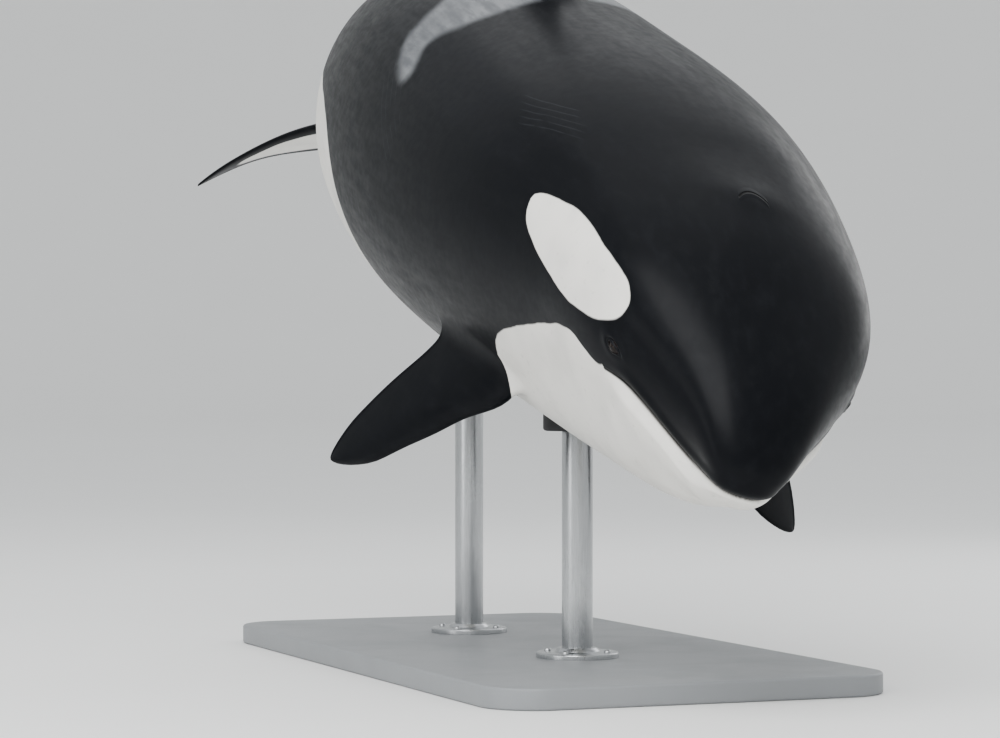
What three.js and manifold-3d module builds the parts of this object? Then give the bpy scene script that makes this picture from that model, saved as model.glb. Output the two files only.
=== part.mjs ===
// An orca held on a plain display stand: gliding forward with its nose low, its right side a little raised,
// its head turned slightly to the right and its tail bent down and to the left.
// Millimetres, up is +Z. The snout points to -Y, so the animal's right side faces -X.
// Inside this file the body is first laid out straight, in body lengths: s runs back from the snout,
// y to the animal's right and z up. The pose then bends that straight body and places it above its stand.
import * as THREE from 'three';
import { mergeVertices } from 'three/addons/utils/BufferGeometryUtils.js';
import Module from 'manifold-3d';

const BODY_LENGTH = 5200;
const PART_GAP = 0.3;
const WELD = 1e-4;
const GAP = PART_GAP / BODY_LENGTH;

// pose, in degrees
const NOSE_DOWN = 22.2;
const RIGHT_SIDE_UP = 11.26;
const TAIL_BEND_DOWN = 18.8;
const TAIL_BEND_LEFT = 23.0;
const TAIL_END_LIFT = 5.0;
const FLUKES_DOWN = 17.0;
const HEAD_NOD = 2.8;
const HEAD_TURN_RIGHT = 10.6;
const SHOULDER_TWIST = 15.0;
const TAIL_UNTWIST = 5.0;
// where the straight body's front end would lie, from the middle of the stand's underside
const BODY_PLACE = [-60, -1960, 685];

// where the body is parted
const NECK_CUT = 0.205;
const WAIST_CUT = 0.43;
const VENT_CUT = 0.66;
const BODY_END = 0.985;
const BODY_SEGMENTS = 36;
const MOUTH_POINT = 10.5;

// distance back, centre height, half height, half width, and how far the widest part sits above the middle
const BODY_STATIONS = [
  [0.000, -0.0139, 0.0000, 0.0000, 0.00],
  [0.006, -0.0122, 0.0132, 0.0169, 0.10],
  [0.024, -0.0044, 0.0285, 0.0293, 0.33],
  [0.055, 0.0006, 0.0476, 0.0482, 0.36],
  [0.100, 0.0072, 0.0681, 0.0715, 0.33],
  [0.160, 0.0120, 0.0861, 0.0831, 0.29],
  [0.240, 0.0128, 0.1032, 0.0960, 0.19],
  [0.340, 0.0121, 0.1081, 0.1029, 0.03],
  [0.440, 0.0095, 0.1088, 0.1003, -0.03],
  [0.550, 0.0062, 0.0942, 0.0866, -0.03],
  [0.660, 0.0050, 0.0700, 0.0590, 0.00],
  [0.770, 0.0038, 0.0480, 0.0337, 0.00],
  [0.860, 0.0010, 0.0340, 0.0180, 0.00],
  [0.930, -0.0010, 0.0230, 0.0120, 0.00],
  [0.985, 0.0000, 0.0022, 0.0050, 0.00],
];

// how far the tail stock's section narrows to an edge above and below
const KEEL_SHARPNESS = 0.45;

// the line where the closed lips meet, seen from the side: distance back and height
const MOUTH_LINE = [
  [-0.030, -0.0249],
  [0.000, -0.0244],
  [0.012, -0.0238],
  [0.024, -0.0223],
  [0.036, -0.0188],
  [0.050, -0.0122],
  [0.066, -0.0060],
  [0.078, -0.0048],
  [0.088, -0.0052],
];
const THROAT = [0.150, -0.130];
const JAW_TOOL_HALF_WIDTH = 0.12;

// how far the lower jaw stands out from the plain section: lower lip flared, chin full
const LOWER_LIP_OUT = 0.0064;
const CHIN_FULLNESS = 0.0050;

const EYE = { s: 0.077, degrees: 85.5, radius: 27, depth: 20 };
const BLOWHOLE = { s: 0.128, halfWidth: 0.0085, bow: 0.0055, radius: 6 };

// fin outlines: station along the span, leading edge, trailing edge and thickness, in body lengths
const DORSAL_BASE_HEIGHT = 0.112;
const DORSAL_HEIGHT = 0.122;
const DORSAL_ROWS = [
  [-0.30, 0.342, 0.525, 0.0190],
  [0.00, 0.358, 0.508, 0.0170],
  [0.25, 0.382, 0.489, 0.0140],
  [0.50, 0.408, 0.482, 0.0112],
  [0.75, 0.437, 0.484, 0.0080],
  [1.00, 0.475, 0.500, 0.0045],
];
const FLIPPER_LENGTH = 0.118;
const FLIPPER_ROWS = [
  [-0.22, -0.0400, 0.0290, 0.0130],
  [0.00, -0.0425, 0.0295, 0.0135],
  [0.20, -0.0290, 0.0300, 0.0120],
  [0.40, -0.0172, 0.0345, 0.0104],
  [0.60, -0.0045, 0.0385, 0.0086],
  [0.80, 0.0075, 0.0410, 0.0066],
  [1.00, 0.0225, 0.0430, 0.0042],
];
const FLIPPER_ROOT = { s: 0.263, degrees: 128 };
const RIGHT_FLIPPER = { side: 1, sweep: 17.5, drop: 62, roll: 20.5 };
const LEFT_FLIPPER = { side: -1, sweep: -16, drop: 72, roll: 55 };
const FLUKE_HALF_SPAN = 0.135;
const FLUKE_ROWS = [
  [0.00, 0.912, 0.984, 0.0120],
  [0.10, 0.919, 0.992, 0.0115],
  [0.25, 0.927, 1.001, 0.0098],
  [0.40, 0.939, 1.006, 0.0082],
  [0.55, 0.951, 1.004, 0.0068],
  [0.75, 0.968, 0.999, 0.0050],
  [1.00, 0.988, 0.999, 0.0034],
];
const FLUKE_DROOP = 0.0496;
const FLUKE_FLAT_HALF_WIDTH = 0.018;

const BASE_SIZE = [1200, 2400, 60];
const BASE_CORNER = 160;
const BASE_EDGE = 8;
const ROD_RADIUS = 45;
const FRONT_ROD = [-36, -400];
const REAR_ROD = [-8, 540];
const FLANGE_RADIUS = 120;
const FLANGE_HEIGHT = 28;
const SADDLE_RADIUS = 100;
const FRONT_SADDLE_BOTTOM = 720;
const REAR_SADDLE_BOTTOM = 1040;

const radians = THREE.MathUtils.degToRad;
const smoothStep = (x) => THREE.MathUtils.smoothstep(x, 0, 1);

/** Cubic spline through values at 0, 1, 2 …; the far end is free, the near end free or of a given slope. */
function spline(values, startSlope = null) {
  const n = values.length;
  const lower = new Array(n).fill(0);
  const middle = new Array(n).fill(1);
  const upper = new Array(n).fill(0);
  const right = new Array(n).fill(0);
  for (let i = 1; i < n - 1; i++) {
    lower[i] = 1;
    middle[i] = 4;
    upper[i] = 1;
    right[i] = 6 * (values[i + 1] - 2 * values[i] + values[i - 1]);
  }
  if (startSlope !== null) {
    middle[0] = 2;
    upper[0] = 1;
    right[0] = 6 * (values[1] - values[0] - startSlope);
  }
  for (let i = 1; i < n; i++) {
    const k = lower[i] / middle[i - 1];
    middle[i] -= k * upper[i - 1];
    right[i] -= k * right[i - 1];
  }
  const bend = new Array(n).fill(0);
  bend[n - 1] = right[n - 1] / middle[n - 1];
  for (let i = n - 2; i >= 0; i--) {
    bend[i] = (right[i] - upper[i] * bend[i + 1]) / middle[i];
  }
  return (t) => {
    const i = THREE.MathUtils.clamp(Math.floor(t), 0, n - 2);
    const b = t - i;
    const a = 1 - b;
    const line = a * values[i] + b * values[i + 1];
    return line + ((a ** 3 - a) * bend[i] + (b ** 3 - b) * bend[i + 1]) / 6;
  };
}

/** Spline of y against unevenly spaced x, through rows of a table, by way of the row number. */
function splineOver(rows, column) {
  const rowOf = spline(rows.map((row) => row[0]));
  const value = spline(rows.map((row) => row[column]));
  return (x) => {
    let low = 0;
    let high = rows.length - 1;
    for (let i = 0; i < 40; i++) {
      const mid = (low + high) / 2;
      if (rowOf(mid) < x) low = mid;
      else high = mid;
    }
    return value((low + high) / 2);
  };
}

const column = (k) => BODY_STATIONS.map((row) => row[k]);
const stationPlace = spline(column(0), 0);
const stationCentre = spline(column(1), 0);
const stationHeight = spline(column(2));
const stationWidth = spline(column(3));
const stationEgg = spline(column(4));
const LAST_STATION = BODY_STATIONS.length - 1;

function stationAt(s) {
  let low = 0;
  let high = LAST_STATION;
  for (let i = 0; i < 44; i++) {
    const mid = (low + high) / 2;
    if (stationPlace(mid) < s) low = mid;
    else high = mid;
  }
  return (low + high) / 2;
}

const mouthHeight = splineOver(MOUTH_LINE, 1);

/** Angle from the top, in degrees, at which the mouth line lies on the skin. */
function mouthDegrees(s) {
  const t = stationAt(s);
  const cosine = (mouthHeight(s) - stationCentre(t)) / Math.max(stationHeight(t), 1e-6);
  return THREE.MathUtils.radToDeg(Math.acos(THREE.MathUtils.clamp(cosine, -1, 1)));
}

/** How far the skin of the lower jaw stands out from the plain section. */
function jawGrowth(s, degrees) {
  const below = Math.abs(degrees) - mouthDegrees(s);
  let lip = LOWER_LIP_OUT * smoothStep(below / 7) * (1 - smoothStep((below - 7) / 45));
  lip *= smoothStep(s / 0.030) * (1 - smoothStep((s - 0.060) / 0.030));
  let chin = CHIN_FULLNESS * smoothStep((Math.abs(degrees) - 112) / 50);
  chin *= smoothStep(s / 0.03) * (1 - smoothStep((s - 0.13) / 0.12));
  return lip + chin;
}

/** Point of the straight body's skin at an angle from the top, from -pi on the left to pi on the right. */
function straightSkin(s, theta, grow = 0) {
  const t = stationAt(s);
  const jaws = s < 0.25 ? jawGrowth(s, THREE.MathUtils.radToDeg(theta)) : 0;
  const height = stationHeight(t) + jaws + grow;
  const width = stationWidth(t) + jaws + grow;
  const keel = Math.abs(Math.sin(theta)) ** (KEEL_SHARPNESS * smoothStep((s - 0.62) / 0.2));
  const y = width * Math.sin(theta) * keel * (1 + stationEgg(t) * Math.cos(theta));
  const z = stationCentre(t) + height * Math.cos(theta);
  return [s, y, z];
}

function poseAngles(s) {
  const tail = smoothStep((s - 0.30) / 0.60);
  const tailEnd = smoothStep((s - 0.84) / 0.11);
  const flukes = smoothStep((s - 0.90) / 0.06);
  const head = 1 - smoothStep(s / 0.25);
  const neck = 1 - smoothStep(s / 0.30);
  const shoulder = smoothStep((s - 0.05) / 0.30);
  const rump = smoothStep((s - 0.45) / 0.40);
  return {
    pitch: radians(
      TAIL_BEND_DOWN * tail - TAIL_END_LIFT * tailEnd + FLUKES_DOWN * flukes - HEAD_NOD * head,
    ),
    yaw: radians(TAIL_BEND_LEFT * tail + HEAD_TURN_RIGHT * neck),
    twist: radians(SHOULDER_TWIST * shoulder - TAIL_UNTWIST * rump),
  };
}

function backDirection({ pitch, yaw }) {
  const flat = Math.cos(pitch);
  return new THREE.Vector3(flat * Math.cos(yaw), -flat * Math.sin(yaw), -Math.sin(pitch));
}

const AXIS_START = -0.05;
const AXIS_STEP = 0.001;
const AXIS_COUNT = 1101;
const AXIS_ANCHOR = 0.3;

/** The bent centre line, added up in small steps and held where the ribs are. */
const axis = (() => {
  const points = [new THREE.Vector3()];
  for (let i = 1; i < AXIS_COUNT; i++) {
    const before = backDirection(poseAngles(AXIS_START + (i - 1) * AXIS_STEP));
    const after = backDirection(poseAngles(AXIS_START + i * AXIS_STEP));
    points.push(before.add(after).multiplyScalar(AXIS_STEP / 2).add(points[i - 1]));
  }
  const anchor = points[Math.round((AXIS_ANCHOR - AXIS_START) / AXIS_STEP)].clone();
  for (const point of points) {
    point.sub(anchor);
    point.x += AXIS_ANCHOR;
  }
  return points;
})();

function axisPoint(s) {
  const k = THREE.MathUtils.clamp((s - AXIS_START) / AXIS_STEP, 0, AXIS_COUNT - 2);
  const i = Math.floor(k);
  return axis[i].clone().lerp(axis[i + 1], k - i);
}

/** Animal frame (back, right, up; body lengths) to the room (millimetres). */
const toRoom = (() => {
  const pitch = radians(NOSE_DOWN);
  const roll = radians(RIGHT_SIDE_UP);
  const back = new THREE.Vector3(0, Math.cos(pitch), Math.sin(pitch));
  const up = new THREE.Vector3(
    Math.sin(roll),
    -Math.sin(pitch) * Math.cos(roll),
    Math.cos(pitch) * Math.cos(roll),
  );
  const right = up.clone().cross(back);
  const matrix = new THREE.Matrix4().makeBasis(back, right, up);
  matrix.scale(new THREE.Vector3(BODY_LENGTH, BODY_LENGTH, BODY_LENGTH));
  matrix.setPosition(...BODY_PLACE);
  return matrix;
})();

/** Bends a point of the straight body and puts it in the room. */
function place(s, y, z) {
  const angles = poseAngles(s);
  const back = backDirection(angles);
  const side = new THREE.Vector3(Math.sin(angles.yaw), Math.cos(angles.yaw), 0);
  const up = back.clone().cross(side);
  const c = Math.cos(angles.twist);
  const d = Math.sin(angles.twist);
  const point = axisPoint(s);
  point.addScaledVector(side, y * c + z * d);
  point.addScaledVector(up, z * c - y * d);
  return point.applyMatrix4(toRoom);
}

/** A closed solid through rings of equal length; a ring of one point is a pole, other ends get a cap. */
function loft(rings) {
  const positions = [];
  const starts = [];
  for (const ring of rings) {
    starts.push(positions.length / 3);
    for (const p of ring) positions.push(p.x, p.y, p.z);
  }
  const index = [];
  const pole = (apex, start, count, flip) => {
    for (let j = 0; j < count; j++) {
      const a = start + j;
      const b = start + (j + 1) % count;
      if (flip) index.push(apex, b, a);
      else index.push(apex, a, b);
    }
  };
  const capped = (ring, start, flip) => {
    const middle = new THREE.Vector3();
    for (const p of ring) middle.addScaledVector(p, 1 / ring.length);
    positions.push(middle.x, middle.y, middle.z);
    pole(positions.length / 3 - 1, start, ring.length, flip);
  };
  for (let i = 0; i + 1 < rings.length; i++) {
    if (rings[i].length === 1) {
      pole(starts[i], starts[i + 1], rings[i + 1].length, false);
    } else if (rings[i + 1].length === 1) {
      pole(starts[i + 1], starts[i], rings[i].length, true);
    } else {
      const count = rings[i].length;
      for (let j = 0; j < count; j++) {
        const a = starts[i] + j;
        const b = starts[i] + (j + 1) % count;
        const c = starts[i + 1] + j;
        const d = starts[i + 1] + (j + 1) % count;
        index.push(a, c, b, b, c, d);
      }
    }
  }
  const last = rings.length - 1;
  if (rings[0].length > 1) capped(rings[0], starts[0], false);
  if (rings[last].length > 1) capped(rings[last], starts[last], true);
  const geometry = new THREE.BufferGeometry();
  geometry.setAttribute('position', new THREE.Float32BufferAttribute(positions, 3));
  geometry.setIndex(index);
  return geometry;
}

function signedVolume(geometry) {
  const p = geometry.attributes.position;
  const [a, b, c] = [new THREE.Vector3(), new THREE.Vector3(), new THREE.Vector3()];
  let sum = 0;
  for (let i = 0; i < geometry.index.count; i += 3) {
    a.fromBufferAttribute(p, geometry.index.getX(i));
    b.fromBufferAttribute(p, geometry.index.getX(i + 1));
    c.fromBufferAttribute(p, geometry.index.getX(i + 2));
    sum += a.dot(b.cross(c));
  }
  return sum / 6;
}

function facingOut(geometry) {
  if (signedVolume(geometry) > 0) return geometry;
  const index = geometry.index;
  for (let i = 0; i < index.count; i += 3) {
    const b = index.getX(i + 1);
    index.setX(i + 1, index.getX(i + 2));
    index.setX(i + 2, b);
  }
  return geometry;
}

/** Places of the rings from one cut to the next, closer together where the body curves more. */
function ringPlaces(from, to, count) {
  const start = from > 0 ? stationAt(from) : 0;
  const end = stationAt(to);
  const places = [from];
  for (let i = 1; i < count; i++) places.push(stationPlace(start + (end - start) * i / count));
  places.push(to);
  return places;
}

/** Angle from the top of a ring's point; on the head the points keep in step with the mouth line. */
function ringAngle(s, j) {
  const half = BODY_SEGMENTS / 2;
  const k = Math.min(j, BODY_SEGMENTS - j);
  const neutral = 180 * MOUTH_POINT / half;
  const corner = MOUTH_LINE[MOUTH_LINE.length - 1][0];
  const onHead = mouthDegrees(Math.min(s, corner));
  const mouth = radians(THREE.MathUtils.lerp(onHead, neutral, smoothStep((s - corner) / 0.06)));
  const upper = mouth * k / MOUTH_POINT;
  const lower = Math.PI - (Math.PI - mouth) * (half - k) / (half - MOUTH_POINT);
  return (k < MOUTH_POINT ? upper : lower) * (j <= half ? 1 : -1);
}

/** Part of the body through rings at the given places, with flat ends; place 0 is the tip of the snout. */
function bodySolid(places, grow = 0) {
  const rings = places.map((s) => {
    if (s <= 0) return [place(-grow, 0, stationCentre(0))];
    const ring = [];
    for (let j = 0; j < BODY_SEGMENTS; j++) {
      ring.push(place(...straightSkin(s, ringAngle(s, j), grow)));
    }
    return ring;
  });
  return facingOut(loft(rings));
}

/** The same, a hair shorter at the ends it shares with its neighbours. */
function bodyPiece(places, sharesFront, sharesRear) {
  const own = [...places];
  if (sharesFront) own[0] += GAP / 2;
  if (sharesRear) own[own.length - 1] -= GAP / 2;
  return bodySolid(own);
}

/** Everything below the lips, back to the throat, as a plate seen from the side and as wide as the head. */
function jawTool(grow) {
  const outline = [];
  const first = MOUTH_LINE[0][0];
  const corner = MOUTH_LINE[MOUTH_LINE.length - 1][0];
  const steps = 16;
  for (let i = 0; i <= steps; i++) {
    const s = first + (corner - first) * i / steps;
    const back = i === steps ? grow : 0;
    outline.push(new THREE.Vector2(s + back, mouthHeight(s) + grow));
  }
  const top = outline[outline.length - 1];
  outline.push(new THREE.Vector2((top.x + THROAT[0] + grow) / 2, (top.y + THROAT[1]) / 2));
  outline.push(new THREE.Vector2(THROAT[0] + grow, THROAT[1]));
  outline.push(new THREE.Vector2((first + THROAT[0]) / 2, THROAT[1]));
  outline.push(new THREE.Vector2(first, THROAT[1]));
  outline.reverse();
  const count = outline.length;
  const positions = [];
  for (const y of [-JAW_TOOL_HALF_WIDTH, JAW_TOOL_HALF_WIDTH]) {
    for (const point of outline) positions.push(...place(point.x, y, point.y).toArray());
  }
  const index = [];
  for (const [a, b, c] of THREE.ShapeUtils.triangulateShape(outline, [])) {
    index.push(a, b, c, count + a, count + c, count + b);
  }
  for (let i = 0; i < count; i++) {
    const j = (i + 1) % count;
    index.push(i, count + i, j, j, count + i, count + j);
  }
  const geometry = new THREE.BufferGeometry();
  geometry.setAttribute('position', new THREE.Float32BufferAttribute(positions, 3));
  geometry.setIndex(index);
  return facingOut(geometry);
}

const SECTION_HALF = 9;
const EDGE_THICKNESS = 2.5 / BODY_LENGTH;

/** Fin section: pairs of chord fraction and half thickness fraction, once around from the trailing edge. */
const finSection = (() => {
  const points = [];
  for (let i = 0; i < 2 * SECTION_HALF; i++) {
    const around = i / SECTION_HALF;
    const upper = around <= 1;
    const k = upper ? 1 - around : around - 1;
    const x = (1 - Math.cos(Math.PI * k)) / 2;
    const bulge = 2.969 * Math.sqrt(x) - 1.26 * x - 3.516 * x ** 2 + 2.843 * x ** 3 - 1.036 * x ** 4;
    points.push([x, bulge / 2, upper ? 1 : -1]);
  }
  return points;
})();

/** A fin from its outline rows; toPoint takes span, chord place and height off the fin's middle sheet. */
function finSolid(rows, spans, roundFrom, toPoint) {
  const leading = splineOver(rows, 1);
  const trailing = splineOver(rows, 2);
  const thickness = splineOver(rows, 3);
  const rings = spans.map((v) => {
    const beyond = Math.max(0, (v - roundFrom) / (1 - roundFrom));
    const narrow = Math.sqrt(Math.max(0, 1 - beyond ** 2));
    const middle = leading(v) * 0.4 + trailing(v) * 0.6;
    const front = middle + (leading(v) - middle) * narrow;
    const rear = middle + (trailing(v) - middle) * narrow;
    const thick = thickness(v) * (0.35 + 0.65 * narrow);
    return finSection.map(([x, bulge, sign]) => {
      const half = Math.max(bulge * thick, EDGE_THICKNESS * Math.sin(Math.PI * Math.min(1, x * 8) / 2));
      const edge = x === 0 ? 0 : sign * half;
      return toPoint(v, front + (rear - front) * x, edge);
    });
  });
  return facingOut(loft(rings));
}

/** Spans from the root to the tip, closing up where the tip is rounded. */
function spanSteps(first, roundFrom, plain, tip) {
  const spans = [];
  for (let i = 0; i < plain; i++) spans.push(first + (roundFrom - first) * i / plain);
  for (let i = 0; i < tip; i++) spans.push(roundFrom + (1 - roundFrom) * Math.sin(Math.PI / 2 * i / tip));
  spans.push(roundFrom + (1 - roundFrom) * 0.996);
  return spans;
}

function dorsalFin() {
  const spans = spanSteps(-0.30, 0.86, 8, 4);
  return finSolid(DORSAL_ROWS, spans, 0.86, (v, chord, off) => (
    place(chord, off, DORSAL_BASE_HEIGHT + v * DORSAL_HEIGHT)
  ));
}

function flipper({ side, sweep, drop, roll }) {
  const spans = spanSteps(-0.22, 0.74, 7, 5);
  const root = new THREE.Vector3(...straightSkin(FLIPPER_ROOT.s, radians(FLIPPER_ROOT.degrees * side)));
  const out = new THREE.Vector3(0, Math.cos(radians(drop)) * side, -Math.sin(radians(drop)));
  const back = new THREE.Vector3(1, 0, 0);
  const c = Math.cos(radians(sweep));
  const d = Math.sin(radians(sweep));
  const span = out.clone().multiplyScalar(c).addScaledVector(back, d);
  const level = out.clone().multiplyScalar(-d).addScaledVector(back, c);
  const normal = level.clone().cross(span).multiplyScalar(side);
  const chord = level.multiplyScalar(Math.cos(radians(roll)));
  chord.addScaledVector(normal, Math.sin(radians(roll)));
  const face = chord.clone().cross(span).multiplyScalar(side);
  return finSolid(FLIPPER_ROWS, spans, 0.74, (v, along, off) => {
    const point = root.clone();
    point.addScaledVector(span, v * FLIPPER_LENGTH);
    point.addScaledVector(chord, along);
    point.addScaledVector(face, off);
    return place(point.x, point.y, point.z);
  });
}

function fluke(side) {
  const spans = spanSteps(GAP / 2 / FLUKE_HALF_SPAN, 0.84, 8, 4);
  return finSolid(FLUKE_ROWS, spans, 0.84, (v, chord, off) => {
    const y = v * FLUKE_HALF_SPAN;
    const u = Math.max(0, y - FLUKE_FLAT_HALF_WIDTH) / (FLUKE_HALF_SPAN - FLUKE_FLAT_HALF_WIDTH);
    return place(chord, y * side, off - FLUKE_DROOP * u ** 2);
  });
}

/** Shallow crescent groove of the closed blowhole, its ends forward, as the tube that is cut away. */
function blowholeTool() {
  const rings = [];
  const steps = 10;
  for (let i = 0; i <= steps; i++) {
    const k = i / steps * 2 - 1;
    const y = BLOWHOLE.halfWidth * k;
    const s = BLOWHOLE.s - BLOWHOLE.bow * k ** 2;
    const theta = Math.asin(y / stationWidth(stationAt(s)));
    const radius = BLOWHOLE.radius / BODY_LENGTH * (0.35 + 0.65 * Math.sqrt(1 - 0.98 * k ** 2));
    const [, sy, sz] = straightSkin(s, theta);
    const ring = [];
    for (let j = 0; j < 8; j++) {
      const a = j / 8 * 2 * Math.PI;
      ring.push(place(s + radius * Math.cos(a), sy, sz + radius * Math.sin(a)));
    }
    rings.push(ring);
  }
  return facingOut(loft(rings));
}

/** Shared corners joined, while the shape is still small and near the origin. */
function welded(geometry) {
  const plain = geometry.clone();
  plain.deleteAttribute('normal');
  plain.deleteAttribute('uv');
  return mergeVertices(plain, WELD);
}

function ball(centre, radius) {
  const geometry = welded(new THREE.SphereGeometry(radius, 14, 10));
  geometry.translate(centre.x, centre.y, centre.z);
  return geometry;
}

function eyeCentre(side) {
  const shrink = -EYE.depth / BODY_LENGTH;
  return place(...straightSkin(EYE.s, radians(EYE.degrees * side), shrink));
}

function upright(radius, height, [x, y], bottom) {
  const geometry = welded(new THREE.CylinderGeometry(radius, radius, height, 36));
  geometry.rotateX(Math.PI / 2);
  geometry.translate(x, y, bottom + height / 2);
  return geometry;
}

/** Ring that covers the foot of a rod, with a rounded upper edge. */
function flange([x, y], bottom) {
  const inner = ROD_RADIUS + PART_GAP;
  const round = 8;
  const profile = [new THREE.Vector2(inner, 0), new THREE.Vector2(FLANGE_RADIUS, 0)];
  for (let i = 0; i <= 2; i++) {
    const a = i / 2 * Math.PI / 2;
    profile.push(new THREE.Vector2(
      FLANGE_RADIUS - round + round * Math.cos(a),
      FLANGE_HEIGHT - round + round * Math.sin(a),
    ));
  }
  profile.push(new THREE.Vector2(inner, FLANGE_HEIGHT), new THREE.Vector2(inner, 0));
  const geometry = welded(new THREE.LatheGeometry(profile, 28));
  geometry.rotateX(Math.PI / 2);
  geometry.translate(x, y, bottom);
  return geometry;
}

function basePlate() {
  const [width, length, height] = BASE_SIZE;
  const w = width / 2 - BASE_EDGE;
  const l = length / 2 - BASE_EDGE;
  const r = BASE_CORNER - BASE_EDGE;
  const shape = new THREE.Shape();
  shape.moveTo(-w + r, -l);
  shape.lineTo(w - r, -l);
  shape.absarc(w - r, -l + r, r, -Math.PI / 2, 0);
  shape.lineTo(w, l - r);
  shape.absarc(w - r, l - r, r, 0, Math.PI / 2);
  shape.lineTo(-w + r, l);
  shape.absarc(-w + r, l - r, r, Math.PI / 2, Math.PI);
  shape.lineTo(-w, -l + r);
  shape.absarc(-w + r, -l + r, r, Math.PI, Math.PI * 1.5);
  const geometry = welded(new THREE.ExtrudeGeometry(shape, {
    depth: height - 2 * BASE_EDGE,
    bevelSize: BASE_EDGE,
    bevelThickness: BASE_EDGE,
    bevelSegments: 1,
    curveSegments: 6,
  }));
  geometry.translate(0, 0, BASE_EDGE);
  return geometry;
}

const wasm = await Module();
wasm.setup();

const solid = (geometry) => {
  facingOut(geometry);
  return new wasm.Manifold(new wasm.Mesh({
    numProp: 3,
    vertProperties: new Float32Array(geometry.attributes.position.array),
    triVerts: new Uint32Array(geometry.index.array),
  }));
};

const geometryOf = (manifold) => {
  const mesh = manifold.getMesh();
  const geometry = new THREE.BufferGeometry();
  geometry.setAttribute('position', new THREE.BufferAttribute(mesh.vertProperties, 3));
  geometry.setIndex(new THREE.BufferAttribute(mesh.triVerts, 1));
  return geometry;
};

const group = new THREE.Group();
group.name = 'orca';
const add = (name, geometry, color, roughness, metalness = 0) => {
  const shaded = facingOut(geometry).toNonIndexed();
  shaded.computeVertexNormals();
  const material = new THREE.MeshStandardMaterial({ color, roughness, metalness });
  material.name = name;
  const mesh = new THREE.Mesh(shaded, material);
  mesh.name = name;
  group.add(mesh);
};

const BLACK = 0x101214;
const WHITE = 0xe9e8e2;
const STEEL = 0x8d9196;

const headRings = ringPlaces(0, NECK_CUT, 18);
const thoraxRings = ringPlaces(NECK_CUT, WAIST_CUT, 8);
const abdomenRings = ringPlaces(WAIST_CUT, VENT_CUT, 8);
const tailRings = ringPlaces(VENT_CUT, BODY_END, 12);

// the whole body a hair larger: what fins, rods and saddles are trimmed with
const allRings = [...headRings, ...thoraxRings.slice(1), ...abdomenRings.slice(1), ...tailRings.slice(1)];
const around = solid(bodySolid([...allRings, BODY_END + GAP], GAP));

const eyeSides = [['eye_right', 1], ['eye_left', -1]];
const headBlock = solid(bodyPiece(headRings, false, true));
let head = headBlock.subtract(solid(jawTool(GAP / 2))).subtract(solid(blowholeTool()));
let jaw = headBlock.intersect(solid(jawTool(-GAP / 2)));
for (const [, side] of eyeSides) {
  const pocket = solid(ball(eyeCentre(side), EYE.radius + PART_GAP));
  head = head.subtract(pocket);
  jaw = jaw.subtract(pocket);
}
add('head', geometryOf(head), BLACK, 0.35);
add('lower_jaw', geometryOf(jaw), WHITE, 0.4);
add('thorax', bodyPiece(thoraxRings, true, true), BLACK, 0.35);
add('abdomen', bodyPiece(abdomenRings, true, true), BLACK, 0.35);
add('tail_stock', bodyPiece(tailRings, true, false), BLACK, 0.35);
for (const [name, side] of eyeSides) add(name, ball(eyeCentre(side), EYE.radius), BLACK, 0.08);

add('dorsal_fin', geometryOf(solid(dorsalFin()).subtract(around)), BLACK, 0.35);
add('flipper_right', geometryOf(solid(flipper(RIGHT_FLIPPER)).subtract(around)), BLACK, 0.35);
add('flipper_left', geometryOf(solid(flipper(LEFT_FLIPPER)).subtract(around)), BLACK, 0.35);
add('fluke_right', geometryOf(solid(fluke(1)).subtract(around)), BLACK, 0.35);
add('fluke_left', geometryOf(solid(fluke(-1)).subtract(around)), BLACK, 0.35);

const floorOfRods = BASE_SIZE[2] + PART_GAP;
add('stand_base', basePlate(), STEEL, 0.5, 0.6);
const rods = [['front', FRONT_ROD, FRONT_SADDLE_BOTTOM], ['rear', REAR_ROD, REAR_SADDLE_BOTTOM]];
for (const [name, spot, saddleBottom] of rods) {
  const rodHeight = saddleBottom - PART_GAP - floorOfRods;
  add(`stand_rod_${name}`, upright(ROD_RADIUS, rodHeight, spot, floorOfRods), STEEL, 0.35, 0.9);
  add(`stand_flange_${name}`, flange(spot, floorOfRods), STEEL, 0.35, 0.9);
  const block = solid(upright(SADDLE_RADIUS, 420, spot, saddleBottom));
  add(`stand_saddle_${name}`, geometryOf(block.subtract(around)), STEEL, 0.6, 0.2);
}
export default group;
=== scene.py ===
import math

import bmesh
import bpy
import numpy as np
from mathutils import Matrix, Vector
from mathutils.bvhtree import BVHTree


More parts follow.
